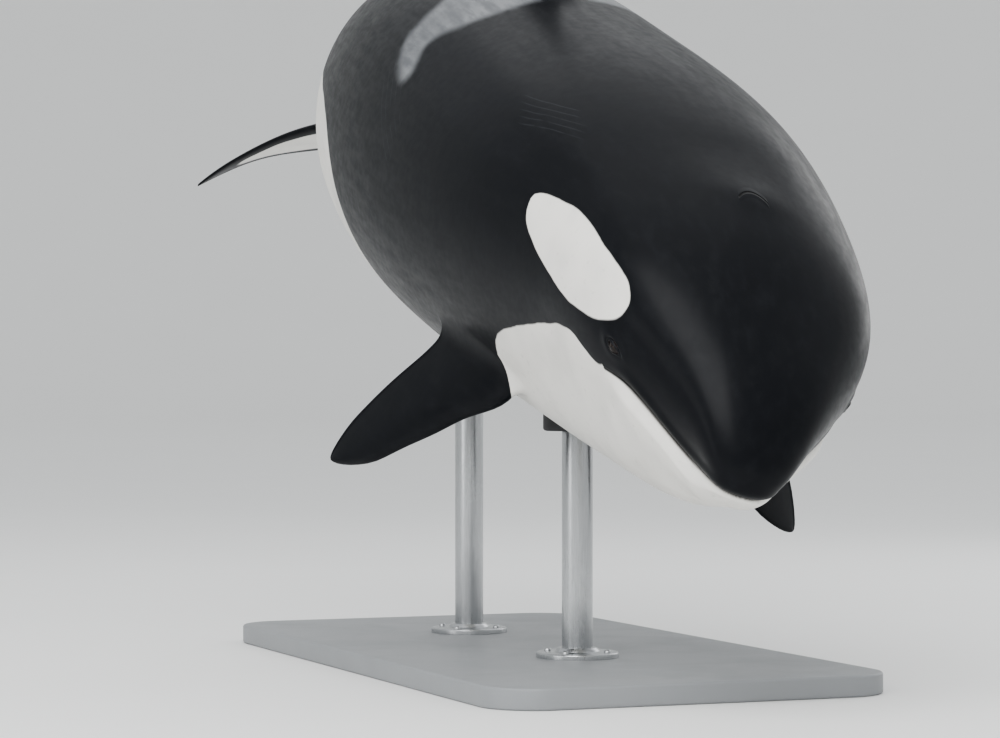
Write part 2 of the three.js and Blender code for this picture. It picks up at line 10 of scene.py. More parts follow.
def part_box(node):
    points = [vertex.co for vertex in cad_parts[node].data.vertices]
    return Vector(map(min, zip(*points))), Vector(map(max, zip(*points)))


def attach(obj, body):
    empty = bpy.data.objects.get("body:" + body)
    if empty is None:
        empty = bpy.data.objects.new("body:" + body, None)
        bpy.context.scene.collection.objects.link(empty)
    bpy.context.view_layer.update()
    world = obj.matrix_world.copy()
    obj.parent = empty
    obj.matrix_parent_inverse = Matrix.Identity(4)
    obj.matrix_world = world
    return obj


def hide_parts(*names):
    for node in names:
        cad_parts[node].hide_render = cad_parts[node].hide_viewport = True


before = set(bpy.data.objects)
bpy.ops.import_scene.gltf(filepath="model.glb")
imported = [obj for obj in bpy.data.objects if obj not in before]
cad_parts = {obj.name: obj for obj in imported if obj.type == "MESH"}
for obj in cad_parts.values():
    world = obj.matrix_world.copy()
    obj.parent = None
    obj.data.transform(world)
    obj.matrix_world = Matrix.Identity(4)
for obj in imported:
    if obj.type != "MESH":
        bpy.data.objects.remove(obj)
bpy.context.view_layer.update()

# An orca held on a plain display stand, seen as in the photograph: from ahead, on its right side.
# Metres, up is +Z, the snout points to -Y and the animal's right side faces -X.
# The skin is first laid out straight, in body lengths: s runs back from the snout, y to the animal's right
# and z up. The pose then bends it and places it above its stand, as the frame's solids are.

RADIANS = math.pi / 180

# The camera
CAMERA_PLACE = (-3.658, -8.819, 0.900)
CAMERA_FORWARD = (0.37247, 0.92805, 0.0)
CAMERA_LENS = 113.1
CAMERA_SENSOR = 36.0

# The animal, as in the frame, with its angles in degrees
BODY_LENGTH = 5.2
BODY_PLACE = (-0.060, -1.960, 0.685)
NOSE_DOWN = 22.2
RIGHT_SIDE_UP = 11.26
TAIL_BEND_DOWN = 18.8
TAIL_BEND_LEFT = 23.0
TAIL_END_LIFT = 5.0
FLUKES_DOWN = 17.0
HEAD_NOD = 2.8
HEAD_TURN_RIGHT = 10.6
SHOULDER_TWIST = 15.0
TAIL_UNTWIST = 5.0

# distance back, centre height, half height, half width, and how far the widest part sits above the middle
BODY_STATIONS = [
    [0.000, -0.0139, 0.0000, 0.0000, 0.00],
    [0.006, -0.0122, 0.0132, 0.0169, 0.10],
    [0.024, -0.0044, 0.0285, 0.0293, 0.33],
    [0.055, 0.0006, 0.0476, 0.0482, 0.36],
    [0.100, 0.0072, 0.0681, 0.0715, 0.33],
    [0.160, 0.0120, 0.0861, 0.0831, 0.29],
    [0.240, 0.0128, 0.1032, 0.0960, 0.19],
    [0.340, 0.0121, 0.1081, 0.1029, 0.03],
    [0.440, 0.0095, 0.1088, 0.1003, -0.03],
    [0.550, 0.0062, 0.0942, 0.0866, -0.03],
    [0.660, 0.0050, 0.0700, 0.0590, 0.00],
    [0.770, 0.0038, 0.0480, 0.0337, 0.00],
    [0.860, 0.0010, 0.0340, 0.0180, 0.00],
    [0.930, -0.0010, 0.0230, 0.0120, 0.00],
    [0.985, 0.0000, 0.0022, 0.0050, 0.00],
]
KEEL_SHARPNESS = 0.45

# how far the lower jaw stands out from the plain section: lower lip flared, chin full
LOWER_LIP_OUT = 0.0064
CHIN_FULLNESS = 0.0050

# the line where the closed lips meet, seen from the side: distance back and height
MOUTH_LINE = [
    [-0.030, -0.0249],
    [0.000, -0.0244],
    [0.012, -0.0238],
    [0.024, -0.0223],
    [0.036, -0.0188],
    [0.050, -0.0122],
    [0.066, -0.0060],
    [0.078, -0.0048],
    [0.088, -0.0052],
]
MOUTH_CORNER = 0.086

# fins: place along the span, leading edge, trailing edge and thickness
DORSAL_ROWS = [
    [-0.30, 0.342, 0.525, 0.0190],
    [0.00, 0.358, 0.508, 0.0170],
    [0.25, 0.382, 0.489, 0.0140],
    [0.50, 0.408, 0.482, 0.0112],
    [0.75, 0.437, 0.484, 0.0080],
    [1.00, 0.475, 0.500, 0.0045],
]
DORSAL_BASE_HEIGHT = 0.112
DORSAL_HEIGHT = 0.122
FLIPPER_ROWS = [
    [-0.22, -0.0400, 0.0290, 0.0130],
    [0.00, -0.0425, 0.0295, 0.0135],
    [0.20, -0.0290, 0.0300, 0.0120],
    [0.40, -0.0172, 0.0345, 0.0104],
    [0.60, -0.0045, 0.0385, 0.0086],
    [0.80, 0.0075, 0.0410, 0.0066],
    [1.00, 0.0225, 0.0430, 0.0042],
]
FLIPPER_LENGTH = 0.118
FLIPPER_ROOT_S = 0.263
FLIPPER_ROOT_DEGREES = 128
# each flipper's sweep, drop and roll in degrees; the right side is 1
FLIPPER_SETS = {1: (17.5, 62, 20.5), -1: (-16, 72, 55)}
FLUKE_ROWS = [
    [0.00, 0.912, 0.984, 0.0120],
    [0.10, 0.919, 0.992, 0.0115],
    [0.25, 0.927, 1.001, 0.0098],
    [0.40, 0.939, 1.006, 0.0082],
    [0.55, 0.951, 1.004, 0.0068],
    [0.75, 0.968, 0.999, 0.0050],
    [1.00, 0.988, 0.999, 0.0034],
]
FLUKE_HALF_SPAN = 0.135
FLUKE_DROOP = 0.0496
FLUKE_FLAT_HALF_WIDTH = 0.018

# the eyes: side, place on the skin, and size and depth of the ball in metres
EYES = {"eye_right": 1, "eye_left": -1}
EYE_S = 0.077
EYE_DEGREES = 85.5
EYE_RADIUS = 0.027
EYE_DEPTH = 0.020


# Curves

def spline(values, start_slope=None):
    """Cubic spline through values at 0, 1, 2 ...; both ends are free, or the near one has a given slope."""
    values = np.array(values, float)
    n = len(values)
    matrix = np.eye(n)
    right = np.zeros(n)
    for i in range(1, n - 1):
        matrix[i, i - 1:i + 2] = (1, 4, 1)
        right[i] = 6 * (values[i + 1] - 2 * values[i] + values[i - 1])
    if start_slope is not None:
        matrix[0, :2] = (2, 1)
        right[0] = 6 * (values[1] - values[0] - start_slope)
    bend = np.linalg.solve(matrix, right)

    def at(t):
        t = np.asarray(t, float)
        i = np.clip(np.floor(t).astype(int), 0, n - 2)
        b = t - i
        a = 1 - b
        line = a * values[i] + b * values[i + 1]
        return line + ((a ** 3 - a) * bend[i] + (b ** 3 - b) * bend[i + 1]) / 6

    return at


def spline_over(rows, column):
    """Spline of a column of a table against its unevenly spaced first column, by way of the row number."""
    numbers = np.linspace(0, len(rows) - 1, 3001)
    places = spline([row[0] for row in rows])(numbers)
    value = spline([row[column] for row in rows])
    return lambda x: value(np.interp(x, places, numbers))


def smooth_step(x, start=0.0, length=1.0):
    """Rises smoothly from 0 to 1 over a length from a start."""
    x = np.clip((x - start) / length, 0, 1)
    return x * x * (3 - 2 * x)


def bell(x, middle, width):
    return np.exp(-((x - middle) / width) ** 2)


def closed_curve(points, steps=12):
    """Smooth closed curve through a few points, as many short straight lines."""
    here = np.array(points, float)
    before, after, beyond = (np.roll(here, k, axis=0) for k in (1, -1, -2))
    parts = []
    for t in np.arange(steps) / steps:
        square = (2 * before - 5 * here + 4 * after - beyond) * t ** 2
        cube = (3 * here - before - 3 * after + beyond) * t ** 3
        parts.append(here + ((after - before) * t + square + cube) / 2)
    return np.stack(parts, axis=1).reshape(-1, here.shape[1])


def signed_distance(x, y, outline):
    """Distance of the points (x, y) to a closed outline, less than zero inside it."""
    nearest = np.full(x.shape, 1e9)
    crossings = np.zeros(x.shape, int)
    for (ax, ay), (bx, by) in zip(outline, np.roll(outline, -1, axis=0)):
        dx, dy = bx - ax, by - ay
        along = np.clip(((x - ax) * dx + (y - ay) * dy) / (dx * dx + dy * dy + 1e-18), 0, 1)
        nearest = np.minimum(nearest, (x - ax - along * dx) ** 2 + (y - ay - along * dy) ** 2)
        if ay != by:
            crosses = (ay > y) != (by > y)
            crossings += crosses & (x < ax + (y - ay) * dx / dy)
    return np.sqrt(nearest) * np.where(crossings % 2 == 1, -1.0, 1.0)


# The body's form

LAST_STATION = len(BODY_STATIONS) - 1
station_columns = list(zip(*BODY_STATIONS))
station_place = spline(station_columns[0], 0)
station_centre = spline(station_columns[1], 0)
station_height = spline(station_columns[2])
station_width = spline(station_columns[3])
station_egg = spline(station_columns[4])
STATION_NUMBERS = np.linspace(0, LAST_STATION, 8001)
STATION_PLACES = station_place(STATION_NUMBERS)
mouth_height = spline_over(MOUTH_LINE, 1)


def station_at(s):
    return np.interp(s, STATION_PLACES, STATION_NUMBERS)


def mean_radius(t):
    return (station_height(t) + station_width(t)) / 2


def keel_power(s):
    """How much the section narrows to an edge above and below, on the tail stock."""
    return KEEL_SHARPNESS * smooth_step(s, 0.62, 0.2)


def mouth_angle(s):
    """Angle from the top at which the mouth line lies on the skin."""
    t = station_at(s)
    cosine = (mouth_height(s) - station_centre(t)) / np.maximum(station_height(t), 1e-6)
    return np.arccos(np.clip(cosine, -1, 1))


def jaw_growth(s, theta):
    """How far the skin of the lower jaw stands out from the plain section."""
    degrees = np.abs(theta) / RADIANS
    below = degrees - mouth_angle(s) / RADIANS
    lip = LOWER_LIP_OUT * smooth_step(below, 0, 7) * (1 - smooth_step(below, 7, 45))
    lip = lip * smooth_step(s, 0, 0.030) * (1 - smooth_step(s, 0.060, 0.030))
    chin = CHIN_FULLNESS * smooth_step(degrees, 112, 50)
    chin = chin * smooth_step(s, 0, 0.030) * (1 - smooth_step(s, 0.130, 0.120))
    return lip + chin


def plain_skin(t, theta):
    """Points of the straight body's skin at station t and angle theta from the top, towards its right."""
    t, theta = np.broadcast_arrays(np.asarray(t, float), np.asarray(theta, float))
    s = station_place(t)
    sine, cosine = np.sin(theta), np.cos(theta)
    grow = jaw_growth(s, theta)
    width = (station_width(t) + grow) * (1 + station_egg(t) * cosine)
    y = width * sine * np.abs(sine) ** keel_power(s)
    z = station_centre(t) + (station_height(t) + grow) * cosine
    return np.stack([s, y, z], axis=-1)


def skin_normal(t, theta):
    """Outward unit normals of the straight body's skin."""
    step = 1e-4
    t = np.maximum(np.asarray(t, float), 2 * step)
    along = plain_skin(np.minimum(t + step, LAST_STATION), theta) - plain_skin(t - step, theta)
    around = plain_skin(t, theta + step) - plain_skin(t, theta - step)
    normal = np.cross(along, around)
    return normal / np.maximum(np.linalg.norm(normal, axis=-1, keepdims=True), 1e-15)


def section_of(points):
    """Cosine of straight-body points' angle from the top, and the body's half width at their height."""
    t = station_at(points[..., 0])
    cosine = (points[..., 2] - station_centre(t)) / station_height(t)
    return cosine, station_width(t) * (1 + station_egg(t) * cosine)


def inside_body(points):
    """Whether straight-body points lie inside the plain body."""
    s, y = points[..., 0], points[..., 1]
    cosine, half_width = section_of(points)
    sine = np.sqrt(np.clip(1 - cosine ** 2, 0, 1))
    inside = np.abs(y) < half_width * sine ** (1 + keel_power(s))
    return (np.abs(cosine) < 1) & inside & (s < BODY_STATIONS[-1][0])


def angle_of(points):
    """Angle from the top of straight-body points that lie on the skin."""
    s, y = points[..., 0], points[..., 1]
    cosine, half_width = section_of(points)
    sine = np.clip(np.abs(y) / half_width, 0, 1) ** (1 / (1 + keel_power(s))) * np.sign(y)
    return np.arctan2(sine, np.clip(cosine, -1, 1))


# Relief of the skin, in metres

# depth and width
LIP_GROOVE = (0.0065, 0.0045)
# height, middle above the mouth line, and width
UPPER_LIP = (0.0050, 0.022, 0.016)
LOWER_LIP = (0.0050, -0.018, 0.012)
BLOWHOLE_S = 0.128
# height, distance behind the blowhole, half width and half length
BLOWHOLE_MOUND = (0.006, -0.005, 0.075, 0.055)
NAPE_DIP = (-0.006, 0.160, 0.100, 0.100)


def over_body(t, theta):
    """Distance back and distance around from the top, in metres."""
    return station_place(t) * BODY_LENGTH, theta * mean_radius(t) * BODY_LENGTH


def above_mouth(t, theta):
    """Distance over the skin above the mouth line, in metres; negative on the lower jaw."""
    point = plain_skin(t, theta)
    level = np.linalg.norm(skin_normal(t, theta)[..., :2], axis=-1)
    height = point[..., 2] - mouth_height(np.maximum(point[..., 0], MOUTH_LINE[0][0]))
    return height * BODY_LENGTH / np.maximum(level, 0.5)


def relief(t, theta):
    """How far the finished skin stands out from the plain body: lips, and the top of the head."""
    t, theta = np.broadcast_arrays(np.asarray(t, float), np.asarray(theta, float))
    over = above_mouth(t, theta)
    out = -LIP_GROOVE[0] * bell(over, 0, LIP_GROOVE[1])
    for height, middle, width in (UPPER_LIP, LOWER_LIP):
        out = out + height * bell(over, middle, width)
    out = out * (1 - smooth_step(station_place(t), 0.058, 0.028))
    back, around = over_body(t, theta)
    for height, behind, half_width, half_length in (BLOWHOLE_MOUND, NAPE_DIP):
        along = back - BLOWHOLE_S * BODY_LENGTH
        out = out + height * bell(around, 0, half_width) * bell(along, behind, half_length)
    return out / BODY_LENGTH


def skin_point(t, theta, height=0.0):
    """Points of the finished straight skin, or ones a height in metres above it."""
    lift = relief(t, theta) + np.asarray(height, float) / BODY_LENGTH
    return plain_skin(t, theta) + skin_normal(t, theta) * lift[..., None]


# The pose

AXIS_START = -0.05
AXIS_STEP = 0.001
AXIS_COUNT = 1101
AXIS_ANCHOR = 0.3


def pose_angles(s):
    """Pitch, yaw and twist of the body's centre line; each bend comes in over a stretch of the body."""
    tail = smooth_step(s, 0.30, 0.60)
    tail_end = smooth_step(s, 0.84, 0.11)
    flukes = smooth_step(s, 0.90, 0.06)
    head = 1 - smooth_step(s, 0, 0.25)
    neck = 1 - smooth_step(s, 0, 0.30)
    shoulder = smooth_step(s, 0.05, 0.30)
    rump = smooth_step(s, 0.45, 0.40)
    pitch = TAIL_BEND_DOWN * tail - TAIL_END_LIFT * tail_end + FLUKES_DOWN * flukes - HEAD_NOD * head
    yaw = TAIL_BEND_LEFT * tail + HEAD_TURN_RIGHT * neck
    twist = SHOULDER_TWIST * shoulder - TAIL_UNTWIST * rump
    return pitch * RADIANS, yaw * RADIANS, twist * RADIANS


def back_direction(pitch, yaw):
    flat = np.cos(pitch)
    return np.stack([flat * np.cos(yaw), -flat * np.sin(yaw), -np.sin(pitch)], axis=-1)


def bent_axis():
    """Points of the bent centre line, added up in small steps and held where the ribs are."""
    s = AXIS_START + AXIS_STEP * np.arange(AXIS_COUNT)
    pitch, yaw, _ = pose_angles(s)
    direction = back_direction(pitch, yaw)
    steps = (direction[1:] + direction[:-1]) / 2 * AXIS_STEP
    points = np.concatenate([np.zeros((1, 3)), np.cumsum(steps, axis=0)])
    anchor = points[round((AXIS_ANCHOR - AXIS_START) / AXIS_STEP)]
    return s, points - anchor + (AXIS_ANCHOR, 0, 0)


def room_axes():
    """The animal's back, right and up directions in the room, as rows."""
    pitch, roll = NOSE_DOWN * RADIANS, RIGHT_SIDE_UP * RADIANS
    back = np.array([0, math.cos(pitch), math.sin(pitch)])
    up = np.array([math.sin(roll), -math.sin(pitch) * math.cos(roll), math.cos(pitch) * math.cos(roll)])
    return np.array([back, np.cross(up, back), up])


AXIS_S, AXIS_POINTS = bent_axis()
ROOM_AXES = room_axes()


def place(points):
    """Bends points of the straight body and puts them in the room."""
    s, y, z = points[..., 0], points[..., 1], points[..., 2]
    pitch, yaw, twist = pose_angles(s)
    back = back_direction(pitch, yaw)
    side = np.stack([np.sin(yaw), np.cos(yaw), np.zeros_like(yaw)], axis=-1)
    up = np.cross(back, side)
    axis = np.stack([np.interp(s, AXIS_S, AXIS_POINTS[:, k]) for k in range(3)], axis=-1)
    across = (y * np.cos(twist) + z * np.sin(twist))[..., None]
    above = (z * np.cos(twist) - y * np.sin(twist))[..., None]
    return (axis + side * across + up * above) @ ROOM_AXES * BODY_LENGTH + BODY_PLACE


# Fins

EDGE_THICKNESS = 0.0025 / BODY_LENGTH
TRAILING_ROUND = 0.015
DEEPEST_ROOT = -0.2


class Fin:
    """A fin's closed sheet on the straight body, from its rows and the way it stands there."""

    def __init__(self, rows, round_from, to_point, span_length):
        self.leading, self.trailing, self.thickness = (spline_over(rows, k) for k in (1, 2, 3))
        self.deepest = max(rows[0][0], DEEPEST_ROOT)
        self.round_from = round_from
        self.to_point = to_point
        self.span_length = span_length

    def point(self, v, x, sign):
        """Point at a place v along the span and x along the chord, on one face or the other."""
        v, x, sign = np.broadcast_arrays(v, x, sign)
        beyond = np.clip((v - self.round_from) / (1 - self.round_from), 0, 1)
        narrow = np.sqrt(1 - beyond ** 2)
        leading, trailing = self.leading(v), self.trailing(v)
        middle = leading * 0.4 + trailing * 0.6
        front = middle + (leading - middle) * narrow
        rear = middle + (trailing - middle) * narrow
        thick = self.thickness(v) * (0.35 + 0.65 * narrow)
        # the thickness of a common symmetric wing section, as a share of its greatest
        bulge = 2.969 * np.sqrt(x) - 1.26 * x - 3.516 * x ** 2 + 2.843 * x ** 3 - 1.036 * x ** 4
        edge = EDGE_THICKNESS * np.sin(np.pi * np.minimum(1, x * 8) / 2)
        rear_round = np.sqrt(1 - np.clip((x - 1 + TRAILING_ROUND) / TRAILING_ROUND, 0, 1) ** 2)
        half = np.maximum(bulge / 2 * thick, edge) * rear_round
        return self.to_point(v, front + (rear - front) * x, half * sign)


def dorsal_point(v, chord, off):
    return np.stack([chord, off, DORSAL_BASE_HEIGHT + v * DORSAL_HEIGHT], axis=-1)


def flipper_point(side):
    sweep, drop, roll = (angle * RADIANS for angle in FLIPPER_SETS[side])
    root = plain_skin(station_at(FLIPPER_ROOT_S), FLIPPER_ROOT_DEGREES * RADIANS * side)
    out = np.array([0, math.cos(drop) * side, -math.sin(drop)])
    back = np.array([1.0, 0, 0])
    span = out * math.cos(sweep) + back * math.sin(sweep)
    level = back * math.cos(sweep) - out * math.sin(sweep)
    normal = np.cross(level, span) * side
    chord = level * math.cos(roll) + normal * math.sin(roll)
    face = np.cross(chord, span) * side

    def at(v, along, off):
        v, along, off = (np.asarray(value)[..., None] for value in (v, along, off))
        return root + span * v * FLIPPER_LENGTH + chord * along + face * off

    return at


def fluke_point(side):
    def at(v, chord, off):
        y = v * FLUKE_HALF_SPAN
        u = np.maximum(0, y - FLUKE_FLAT_HALF_WIDTH) / (FLUKE_HALF_SPAN - FLUKE_FLAT_HALF_WIDTH)
        return np.stack([chord, y * side, off - FLUKE_DROOP * u ** 2], axis=-1)

    return at


FINS = {
    "dorsal": Fin(DORSAL_ROWS, 0.86, dorsal_point, DORSAL_HEIGHT),
    "flipper_right": Fin(FLIPPER_ROWS, 0.74, flipper_point(1), FLIPPER_LENGTH),
    "flipper_left": Fin(FLIPPER_ROWS, 0.74, flipper_point(-1), FLIPPER_LENGTH),
    "fluke_right": Fin(FLUKE_ROWS, 0.84, fluke_point(1), FLUKE_HALF_SPAN),
    "fluke_left": Fin(FLUKE_ROWS, 0.84, fluke_point(-1), FLUKE_HALF_SPAN),
}
FIN_CODES = {name: i + 1 for i, name in enumerate(FINS)}


def kind_of(fin_name):
    return fin_name.split("_")[0]


# Where the skin's grid leaves room for fins and eyes: from s, to s, middle angle and half angle in degrees
WINDOWS = {
    "dorsal": (0.305, 0.540, 0, 22),
    "flipper_right": (0.200, 0.335, 128, 25),
    "flipper_left": (0.200, 0.335, -128, 30),
    "fluke_right": (0.885, 0.9825, 90, 44),
    "fluke_left": (0.885, 0.9825, -90, 44),
    "eye_right": (0.0635, 0.0905, EYE_DEGREES, 9.5),
    "eye_left": (0.0635, 0.0905, -EYE_DEGREES, 9.5),
}
# how far a fin's fillet reaches forward, back and sideways over the body, and up the fin, in metres
FILLETS = {
    "dorsal": (0.120, 0.085, 0.075, 0.085),
    "flipper": (0.050, 0.055, 0.055, 0.060),
    "fluke": (0.065, 0.018, 0.030, 0.075),
}
FILLET_LAST_S = 0.9815
PLAIN_RINGS = 7
FILLET_RINGS = 8
SPAN_RINGS = 26
SPAN_END = 0.9985


# The skin as one mesh

# rows of points between one station and the next, and points around half the body
ROWS_PER_STATION = (28, 18, 20, 26, 26, 26, 26, 22, 20, 18, 16, 16, 18, 16)
HALF_COLUMNS = 96
AROUND = 2 * HALF_COLUMNS
# columns crowd along the mouth line on the head; behind it, this angle takes the line's place
NEUTRAL_ANGLE = 105 * RADIANS
LOWEST_MOUTH_ANGLE = 128 * RADIANS
CROWDING = 0.82
TAIL_END_BULGE = 0.0012
POINT_PARTS = ("station", "theta", "fin", "lift", "chord", "span", "face", "rim")

# the unwrap: metres across it, margin, height of the body's back, height of the fins' islands,
# row and left end of each fin's, and how far its lower face lies from the upper one
UV_METRES = 5.45
UV_MARGIN = 0.02
UV_BACK = 0.30
UV_FINS = 0.62
UV_FIN_PLACES = {
    "dorsal": (0, 0.0), "flipper_right": (0, 2.0), "flipper_left": (0, 3.1),
    "fluke_right": (1, 0.0), "fluke_left": (1, 1.9),
}
UV_FACE_STEPS = {"dorsal": 0.98, "flipper": 0.50, "fluke": 0.50}


def strip(inner, outer):
    """Four corners of each face between two rings, of point numbers or of places on the unwrap."""
    return np.stack([inner, np.roll(inner, -1, axis=0), np.roll(outer, -1, axis=0), outer], axis=1)


def fan(ring, middle):
    """Three corners of each face between a ring and its middle."""
    return np.stack([ring, np.roll(ring, -1, axis=0), np.broadcast_to(middle, ring.shape)], axis=1)


def body_unwrap(t, theta):
    """Place on the unwrap of a point of the body: distance back, and distance around from the top."""
    around = theta * (0.55 * mean_radius(t) + 0.45 * 0.03)
    u = UV_MARGIN + (station_place(t) + 0.002) * BODY_LENGTH / UV_METRES
    v = UV_BACK + around * BODY_LENGTH / UV_METRES
    return np.stack(np.broadcast_arrays(u, v), axis=-1)


def fin_unwrap(name, points, lift):
    """Place on the unwrap of a fin's points: chord one way, distance from the body the other."""
    row, left = UV_FIN_PLACES[name]
    start = FINS[name].leading(0.0)
    if kind_of(name) == "flipper":
        start = start + FLIPPER_ROOT_S
    u = UV_MARGIN + (left + (points[:, 0] - start) * BODY_LENGTH + 0.12) / UV_METRES
    v = UV_FINS + (row + lift) / UV_METRES
    return np.stack([u, v], axis=-1)


class SkinMesh:
    """Points, their places on the animal, faces and the faces' places on the unwrap, block by block."""

    def __init__(self):
        self.points = []
        self.parts = {name: [] for name in POINT_PARTS}
        self.count = 0
        self.faces = []
        self.corners = []

    def add(self, points, **parts):
        """Adds straight-body points and returns their numbers."""
        points = np.asarray(points, float).reshape(-1, 3)
        numbers = self.count + np.arange(len(points))
        self.points.append(points)
        for name in POINT_PARTS:
            value = np.asarray(parts.get(name, 0.0), float)
            self.parts[name].append(np.broadcast_to(value, (len(points),)).copy())
        self.count += len(points)
        return numbers

    def add_faces(self, faces, corners):
        self.faces.extend(np.asarray(faces).tolist())
        self.corners.append(np.asarray(corners, float).reshape(-1, 2))

    def part(self, name):
        return np.concatenate(self.parts[name])


class Sleeve:
    """Rings of skin added one after another, each joined by faces to the one before."""

    def __init__(self, mesh, ring, corners):
        self.mesh = mesh
        self.ring = ring
        self.corners = corners
        # how far each column of faces is moved across the unwrap
        self.corner_steps = np.zeros(len(ring))

    def join(self, faces, corners):
        corners[..., 0] += self.corner_steps[:, None]
        self.mesh.add_faces(faces, corners)

    def grow(self, points, corners, **parts):
        ring = self.mesh.add(points, **parts)
        self.join(strip(self.ring, ring), strip(self.corners, corners))
        self.ring, self.corners = ring, corners

    def grow_over_body(self, t, theta, height=0.0, rim=0.0):
        self.grow(skin_point(t, theta, height), body_unwrap(t, theta), station=t, theta=theta, rim=rim)

    def grow_towards(self, start, end, shares):
        """Adds plain rings at some shares of the way between two rings of stations and angles."""
        for share in shares:
            self.grow_over_body(*(a + (b - a) * share for a, b in zip(start, end)))

    def close(self, point, corner, **parts):
        middle = self.mesh.add(point, **parts)
        self.join(fan(self.ring, middle[0]), fan(self.corners, corner))


def grid_places():
    """Station and angle of every grid point."""
    stations = [np.array([0.0])]
    for i, count in enumerate(ROWS_PER_STATION):
        stations.append(i + np.arange(1, count + 1) / count)
    stations = np.concatenate(stations)
    s = station_place(stations)
    line_end = MOUTH_LINE[-1][0]
    blend = smooth_step(s, line_end, 0.06)
    mouth = np.minimum(mouth_angle(np.minimum(s, line_end)), LOWEST_MOUTH_ANGLE)
    mouth = (mouth * (1 - blend) + NEUTRAL_ANGLE * blend)[:, None]
    crowded = CROWDING * smooth_step(s, 0, 0.004) * (1 - smooth_step(s, 0.085, 0.06))
    k = (crowded / 2)[:, None]
    share = NEUTRAL_ANGLE / math.pi
    u = (np.arange(-HALF_COLUMNS, HALF_COLUMNS + 1) / HALF_COLUMNS)[None, :]
    above = np.clip(np.abs(u) / share, 0, 1)
    below = np.clip((1 - np.abs(u)) / (1 - share), 0, 1)
    upper = mouth * ((1 + k) * above - k * above ** 3)
    lower = math.pi - (math.pi - mouth) * ((1 + k) * below - k * below ** 3)
    return stations, np.where(np.abs(u) <= share, upper, lower) * np.sign(u)


class Window:
    """A rectangle of grid cells left open for a fin or an eye, with its border listed once around."""

    def __init__(self, stations, theta, start, end, middle, half):
        self.first, self.last = (int(np.argmin(np.abs(station_place(stations) - s))) for s in (start, end))
        middle_row = theta[(self.first + self.last) // 2]
        centre, edge = (int(np.argmin(np.abs(middle_row - a * RADIANS))) for a in (middle, middle + half))
        reach = max(edge - centre, 3)
        height = self.last - self.first
        self.left, self.right = centre - reach, centre + reach
        border = [(self.last, centre + j) for j in range(reach)]
        border += [(self.last - i, self.right) for i in range(height)]
        border += [(self.first, self.right - j) for j in range(2 * reach)]
        border += [(self.first + i, self.left) for i in range(height)]
        border += [(self.last, self.left + j) for j in range(reach)]
        # it runs the other way around on the right side, so that both sides are mirror images
        self.turn = -1 if middle > 0 else 1
        if self.turn < 0:
            border = [(i, 2 * centre - j) for i, j in border]
        self.border = np.array(border)

    def holds(self, i, j):
        return (i >= self.first) & (i < self.last) & (j >= self.left) & (j < self.right)

    def holds_point(self, i, j):
        return (i > self.first) & (i < self.last) & (j > self.left) & (j < self.right)


class Grid:
    """The body's grid: stations of its rows, angles and point numbers of its points, and its windows."""

    def __init__(self):
        self.stations, self.theta = grid_places()
        self.windows = {}
        for name, limits in WINDOWS.items():
            self.windows[name] = Window(self.stations, self.theta, *limits)
        self.numbers = np.full((len(self.stations), AROUND), -1)

    def border(self, name, start=0):
        """Point numbers, stations and angles once around a window."""
        rows, columns = np.roll(self.windows[name].border, start, axis=0).T
        return self.numbers[rows, columns % AROUND], self.stations[rows], self.theta[rows, columns]


def fin_sheet(count):
    """Chord fraction and face of each point once around a fin's section from its trailing edge."""
    around = np.arange(count) / (count // 2)
    upper = around <= 1
    x = (1 - np.cos(np.pi * np.where(upper, 1 - around, around - 1))) / 2
    return x, np.where(upper, 1.0, -1.0)


def root_places(fin, x, sign):
    """Place along the span where each line of a fin's sheet leaves the body."""
    low = np.full(len(x), fin.deepest)
    high = np.full(len(x), 0.6)
    for _ in range(40):
        middle = (low + high) / 2
        within = inside_body(fin.point(middle, x, sign))
        low = np.where(within, middle, low)
        high = np.where(within, high, middle)
    return (low + high) / 2


def oval_about(root, radius, turn, reach_front, reach_rear, reach_side):
    """Distance back and distance around of an oval on the body about a fin's root."""
    flat = np.stack([root[:, 0], angle_of(root) * radius], axis=-1)
    rear, front = flat[0], flat[len(flat) // 2]
    chord = np.linalg.norm(rear - front)
    direction = (rear - front) / chord
    across = np.array([-direction[1], direction[0]])
    half_chord = (chord + reach_front + reach_rear) / 2
    centre = front + direction * (half_chord - reach_front)
    half_width = np.abs((flat - front) @ across).max() + reach_side
    angle = (np.arange(len(flat)) / (len(flat) // 2) * np.pi)[:, None]
    return centre + direction * np.cos(angle) * half_chord + across * turn * np.sin(angle) * half_width


def fin_rings(fin, x, sign, root_v, root, start, normal, reach_up):
    """Rings of the fillet and the fin: points, places along the span, and share of the fillet passed."""
    step = root - start
    step = step - normal * (step * normal).sum(-1, keepdims=True)
    top_v = root_v + reach_up / fin.span_length
    top = fin.point(top_v, x, sign)
    second = start + step * 0.6
    third = top + (root - top) * 0.6
    for f in np.arange(1, FILLET_RINGS + 1) / FILLET_RINGS:
        near = start * (1 - f) ** 3 + second * 3 * f * (1 - f) ** 2
        far = third * 3 * f ** 2 * (1 - f) + top * f ** 3
        yield near + far, root_v + (top_v - root_v) * f ** 2, f
    mean_v = top_v.mean()
    for f in np.arange(1, SPAN_RINGS + 1) / SPAN_RINGS:
        if f < 0.7:
            v = mean_v + (fin.round_from - mean_v) * f / 0.7
        else:
            v = fin.round_from + (SPAN_END - fin.round_from) * math.sin(math.pi / 2 * (f - 0.7) / 0.3)
        v = v + (top_v - mean_v) * (1 - f) ** 2
        yield fin.point(v, x, sign), v, 1.0


